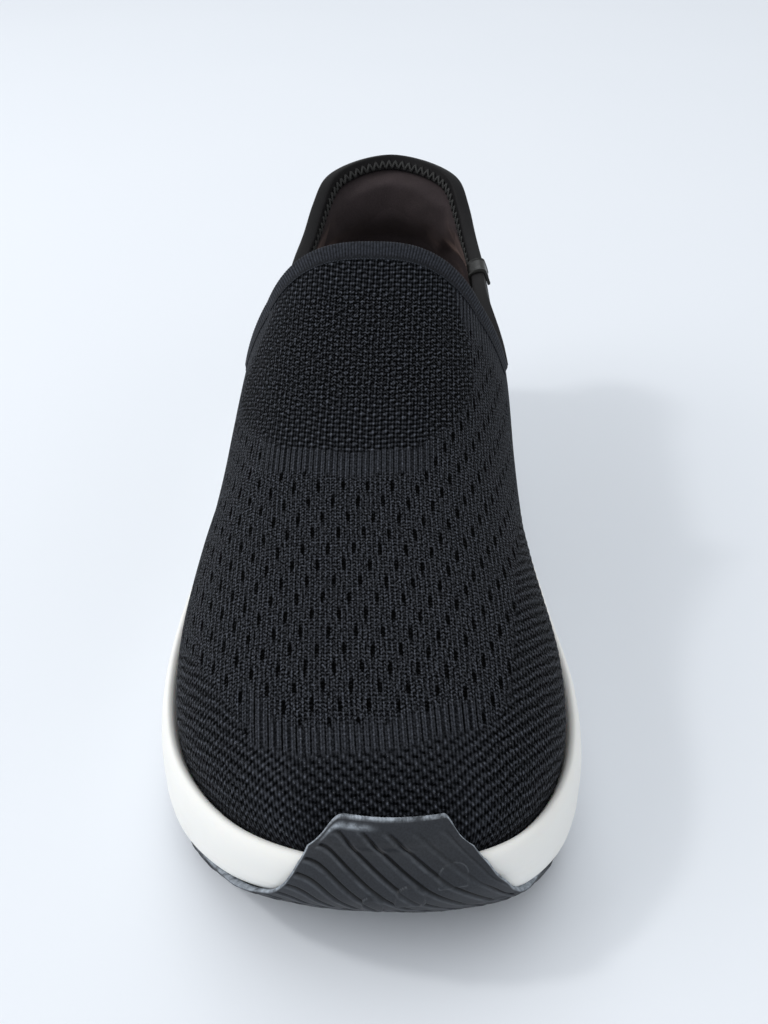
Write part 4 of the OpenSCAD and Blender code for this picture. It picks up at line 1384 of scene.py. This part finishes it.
def vamp_lining(finish):
    """Thin lining inside the closed front."""
    t = front_rows()[::6]
    t[-1] = COLLAR_T
    q = np.linspace(-1, 1, 131)
    points = over_front(t[:, None], q[None])
    normals = grid_normals(points)
    if normals[-5, 65, 2] < 0:
        normals = -normals
    keep = t > 0.25
    points, normals = points[keep], normals[keep]
    puff = (PUFF + GAP) * smooth((2.45 - t[keep]) / 0.3)
    depth = (KNIT + GAP + 0.05 + puff)[:, None, None]
    wrinkle = 0.12 * np.sin(points[..., 0:1] * 0.5 + points[..., 1:2] * 0.8) \
        * np.sin(points[..., 1:2] * 0.33 + 1)
    piece = closed_shell("vamp_lining_cloth", points - normals * depth,
                         points - normals * (depth + LINING - 0.1 + wrinkle * 0.5))
    return dress(piece, finish, "shoe", "lining", "vamp_lining")


INSOLE_INSET = 10.6
INSOLE_REST = GAP + 1.3 + 0.55
INSOLE_FOAM = 4.2
INSOLE_COVER = 0.75


def insole(foam, cloth):
    """Foam insole and its cloth cover, softly crowned and cupped at the heel."""
    t = ring_t(300)

    def rings(sizes):
        return np.array([ring(t, d, lambda s, z=z: footbed(s) + z) for d, z in sizes])

    top = INSOLE_REST + INSOLE_FOAM
    body = rings([(INSOLE_INSET + 1.2, INSOLE_REST), (INSOLE_INSET + 0.6, INSOLE_REST + 0.25),
                  (INSOLE_INSET + 0.15, INSOLE_REST + 1.1), (INSOLE_INSET + 0.1, top - 0.4),
                  (INSOLE_INSET + 0.4, top)])
    piece = stacked("insole_foam_bed", body,
                    bridged(body[0], 13, lambda g, a: footbed(g[..., 1]) + INSOLE_REST),
                    bridged(body[-1], 13, lambda g, a: footbed(g[..., 1]) + top))
    dress(piece, foam, "insole", "padding", "insole_foam")

    base = top + 0.05
    count, across = 96, 25
    t = ring_t(count * 2)
    edge = ring(t, INSOLE_INSET + 0.2, lambda s: footbed(s) + base)
    grid = bridged(edge, across, lambda g, a: footbed(g[..., 1]) + base)
    rise = np.full(grid.shape[:2], INSOLE_COVER - 0.2)
    f = np.linspace(0, 1, across)[None]
    rise *= smooth(np.minimum(f, 1 - f) / 0.05 + 0.35)
    order = np.arange(count + 1)
    rise *= smooth(np.minimum(order, count - order) / 2 + 0.35)[:, None]
    upper = grid + np.stack([0 * rise, 0 * rise, rise], -1)
    cover = plain_shell("insole_cover_cloth", upper, grid)
    inside = np.zeros(grid.shape[:2], bool)
    inside[2:-2, 2:-2] = True
    puff_up(cover, np.concatenate([inside.ravel(), np.zeros(inside.size, bool)]), 3.0, 0.45)
    tidy(subdivide(cover), 2e-6)
    dress(cover, cloth, "insole", "insole_cloth", "insole_cover")


def strobel_stitches(finish):
    """Overlock seam that joins the upper's lower edge to the strobel board."""
    t = ring_t(1400)
    p = inset(t, np.full(t.shape, 10.9))
    run = lengths(np.c_[p, 0 * t])
    turns = round(run[-1] / 3.2)
    phase = 2 * math.pi * turns * np.arange(len(t)) / len(t)
    q = inset(t, 10.7 + 0.42 * np.cos(phase))
    path = np.c_[q, footbed(q[:, 1]) + 1.05 + 0.34 * np.sin(phase)]
    tangent = unit(np.roll(path, -1, 0) - np.roll(path, 1, 0))
    side = unit(np.cross(tangent, [0, 0, 1.0]))
    top = np.cross(side, tangent)
    angle = np.linspace(0, 2 * math.pi, 6, endpoint=False)
    points = path[:, None] + 0.2 * (side[:, None] * np.cos(angle)[None, :, None]
                                    + top[:, None] * np.sin(angle)[None, :, None])
    faces = grid_faces(len(t), 6, wrap_rows=True, wrap_cols=True)
    piece = add_mesh("strobel_overlock", points.reshape(-1, 3), faces)
    return dress(tidy(piece), finish, "shoe", "stitching", "strobel_seam")


# ---------------------------------------------------------------- scene

def stage():
    """Pale floor, soft light from the upper left, and the camera."""
    scene = bpy.context.scene
    scene.view_settings.view_transform = "Standard"
    low, high = (np.array(v) for v in CAD_BOX)
    size = high - low
    centre = (low + high) / 2

    floor = bpy.data.objects.new("floor", bpy.data.meshes.new("floor"))
    reach = 12 * size[1]
    corners = [(-reach, -reach), (reach, -reach), (reach, reach), (-reach, reach)]
    floor.data.from_pydata([(x, y, low[2] - 0.0002) for x, y in corners], [], [(0, 1, 2, 3)])
    scene.collection.objects.link(floor)
    f = Finish("floor", Roughness=0.75, Specular_IOR_Level=0.2)
    floor.data.materials.append(f.set(Base_Color=f.mix(f.noise(2.5, 2.0), (0.80, 0.835, 0.89, 1),
                                                       (0.83, 0.86, 0.91, 1))))

    world = bpy.data.worlds.new("studio")
    world.use_nodes = True
    world.node_tree.nodes["Background"].inputs["Color"].default_value = (0.955, 0.98, 1.0, 1)
    world.node_tree.nodes["Background"].inputs["Strength"].default_value = 0.82
    scene.world = world

    aim = Vector(centre + size * [0, 0, -0.1])
    for name, spot, width, power, colour in (
            ("key", (-4.1, -0.25, 4.5), 0.5, 4.4, (1.0, 0.99, 0.97)),
            ("left_box", (-4.5, -1.0, 3.2), 3.0, 6.8, (1.0, 1.0, 1.0)),
            ("rim", (-1.0, 5.0, 4.5), 1.5, 2.0, (0.95, 0.98, 1.0))):
        data = bpy.data.lights.new(name, "AREA")
        data.shape = "DISK"
        data.size = width * size[1] * 1.4
        data.energy = power
        data.color = colour
        lamp = bpy.data.objects.new(name, data)
        lamp.location = aim + Vector(spot) * size[1]
        lamp.rotation_euler = (aim - lamp.location).to_track_quat("-Z", "Y").to_euler()
        scene.collection.objects.link(lamp)

    camera = bpy.data.objects.new("camera", bpy.data.cameras.new("camera"))
    camera.data.lens = 40.08
    camera.data.sensor_width = 36
    camera.data.clip_start = 0.01
    azimuth, elevation, distance = math.radians(2.0), math.radians(32.6), 1.2195 * size[1]
    flat = math.cos(elevation)
    back = Vector((math.sin(azimuth) * flat, -math.cos(azimuth) * flat, math.sin(elevation)))
    target = Vector(centre + size * [0.0165, -0.0296, -0.1738])
    camera.location = target + back * distance
    camera.rotation_euler = (-back).to_track_quat("-Z", "Y").to_euler()
    scene.collection.objects.link(camera)
    scene.camera = camera


def paint(node, finish):
    """Gives a CAD node that stays its own finish."""
    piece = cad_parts[node]
    piece.data.materials.clear()
    piece.data.materials.append(finish)


def build():
    rubber = rubber_finish()
    lining = lining_finish()
    grey_foam = foam_finish("collar_foam", grey(0.10))
    knit_pieces(knit_finish())
    collar_band(band_finish())
    binding(tape_finish())
    zigzag(thread_finish("dark_thread", grey(0.006), grey(0.018)))
    gloss = sleeve_finish()
    sleeve("sleeve_gloss_lateral", gloss, 2.9, 3.55, "sleeve_lateral")
    sleeve("sleeve_gloss_medial", gloss, 23.15, 23.85, "sleeve_medial")
    midsole(midsole_finish())
    tread("tread_forefoot", rubber, False)
    tread("tread_heel", rubber, True)
    toe_wrap(rubber)
    heel_linings(lining, grey_foam, foam_finish("roll_foam", grey(0.07)))
    vamp_lining(lining)
    insole(foam_finish("insole_foam", grey(0.06)), cloth_finish())
    strobel_stitches(thread_finish("pale_thread", grey(0.5), grey(0.75)))
    paint("strobel_board", board_finish("strobel_board", grey(0.55, (1, 0.98, 0.92))))
    paint("toe_puff", board_finish("toe_puff", grey(0.32, (1, 0.98, 0.94))))
    paint("heel_counter", board_finish("heel_counter", grey(0.6, (1, 0.96, 0.86))))
    stage()


build()
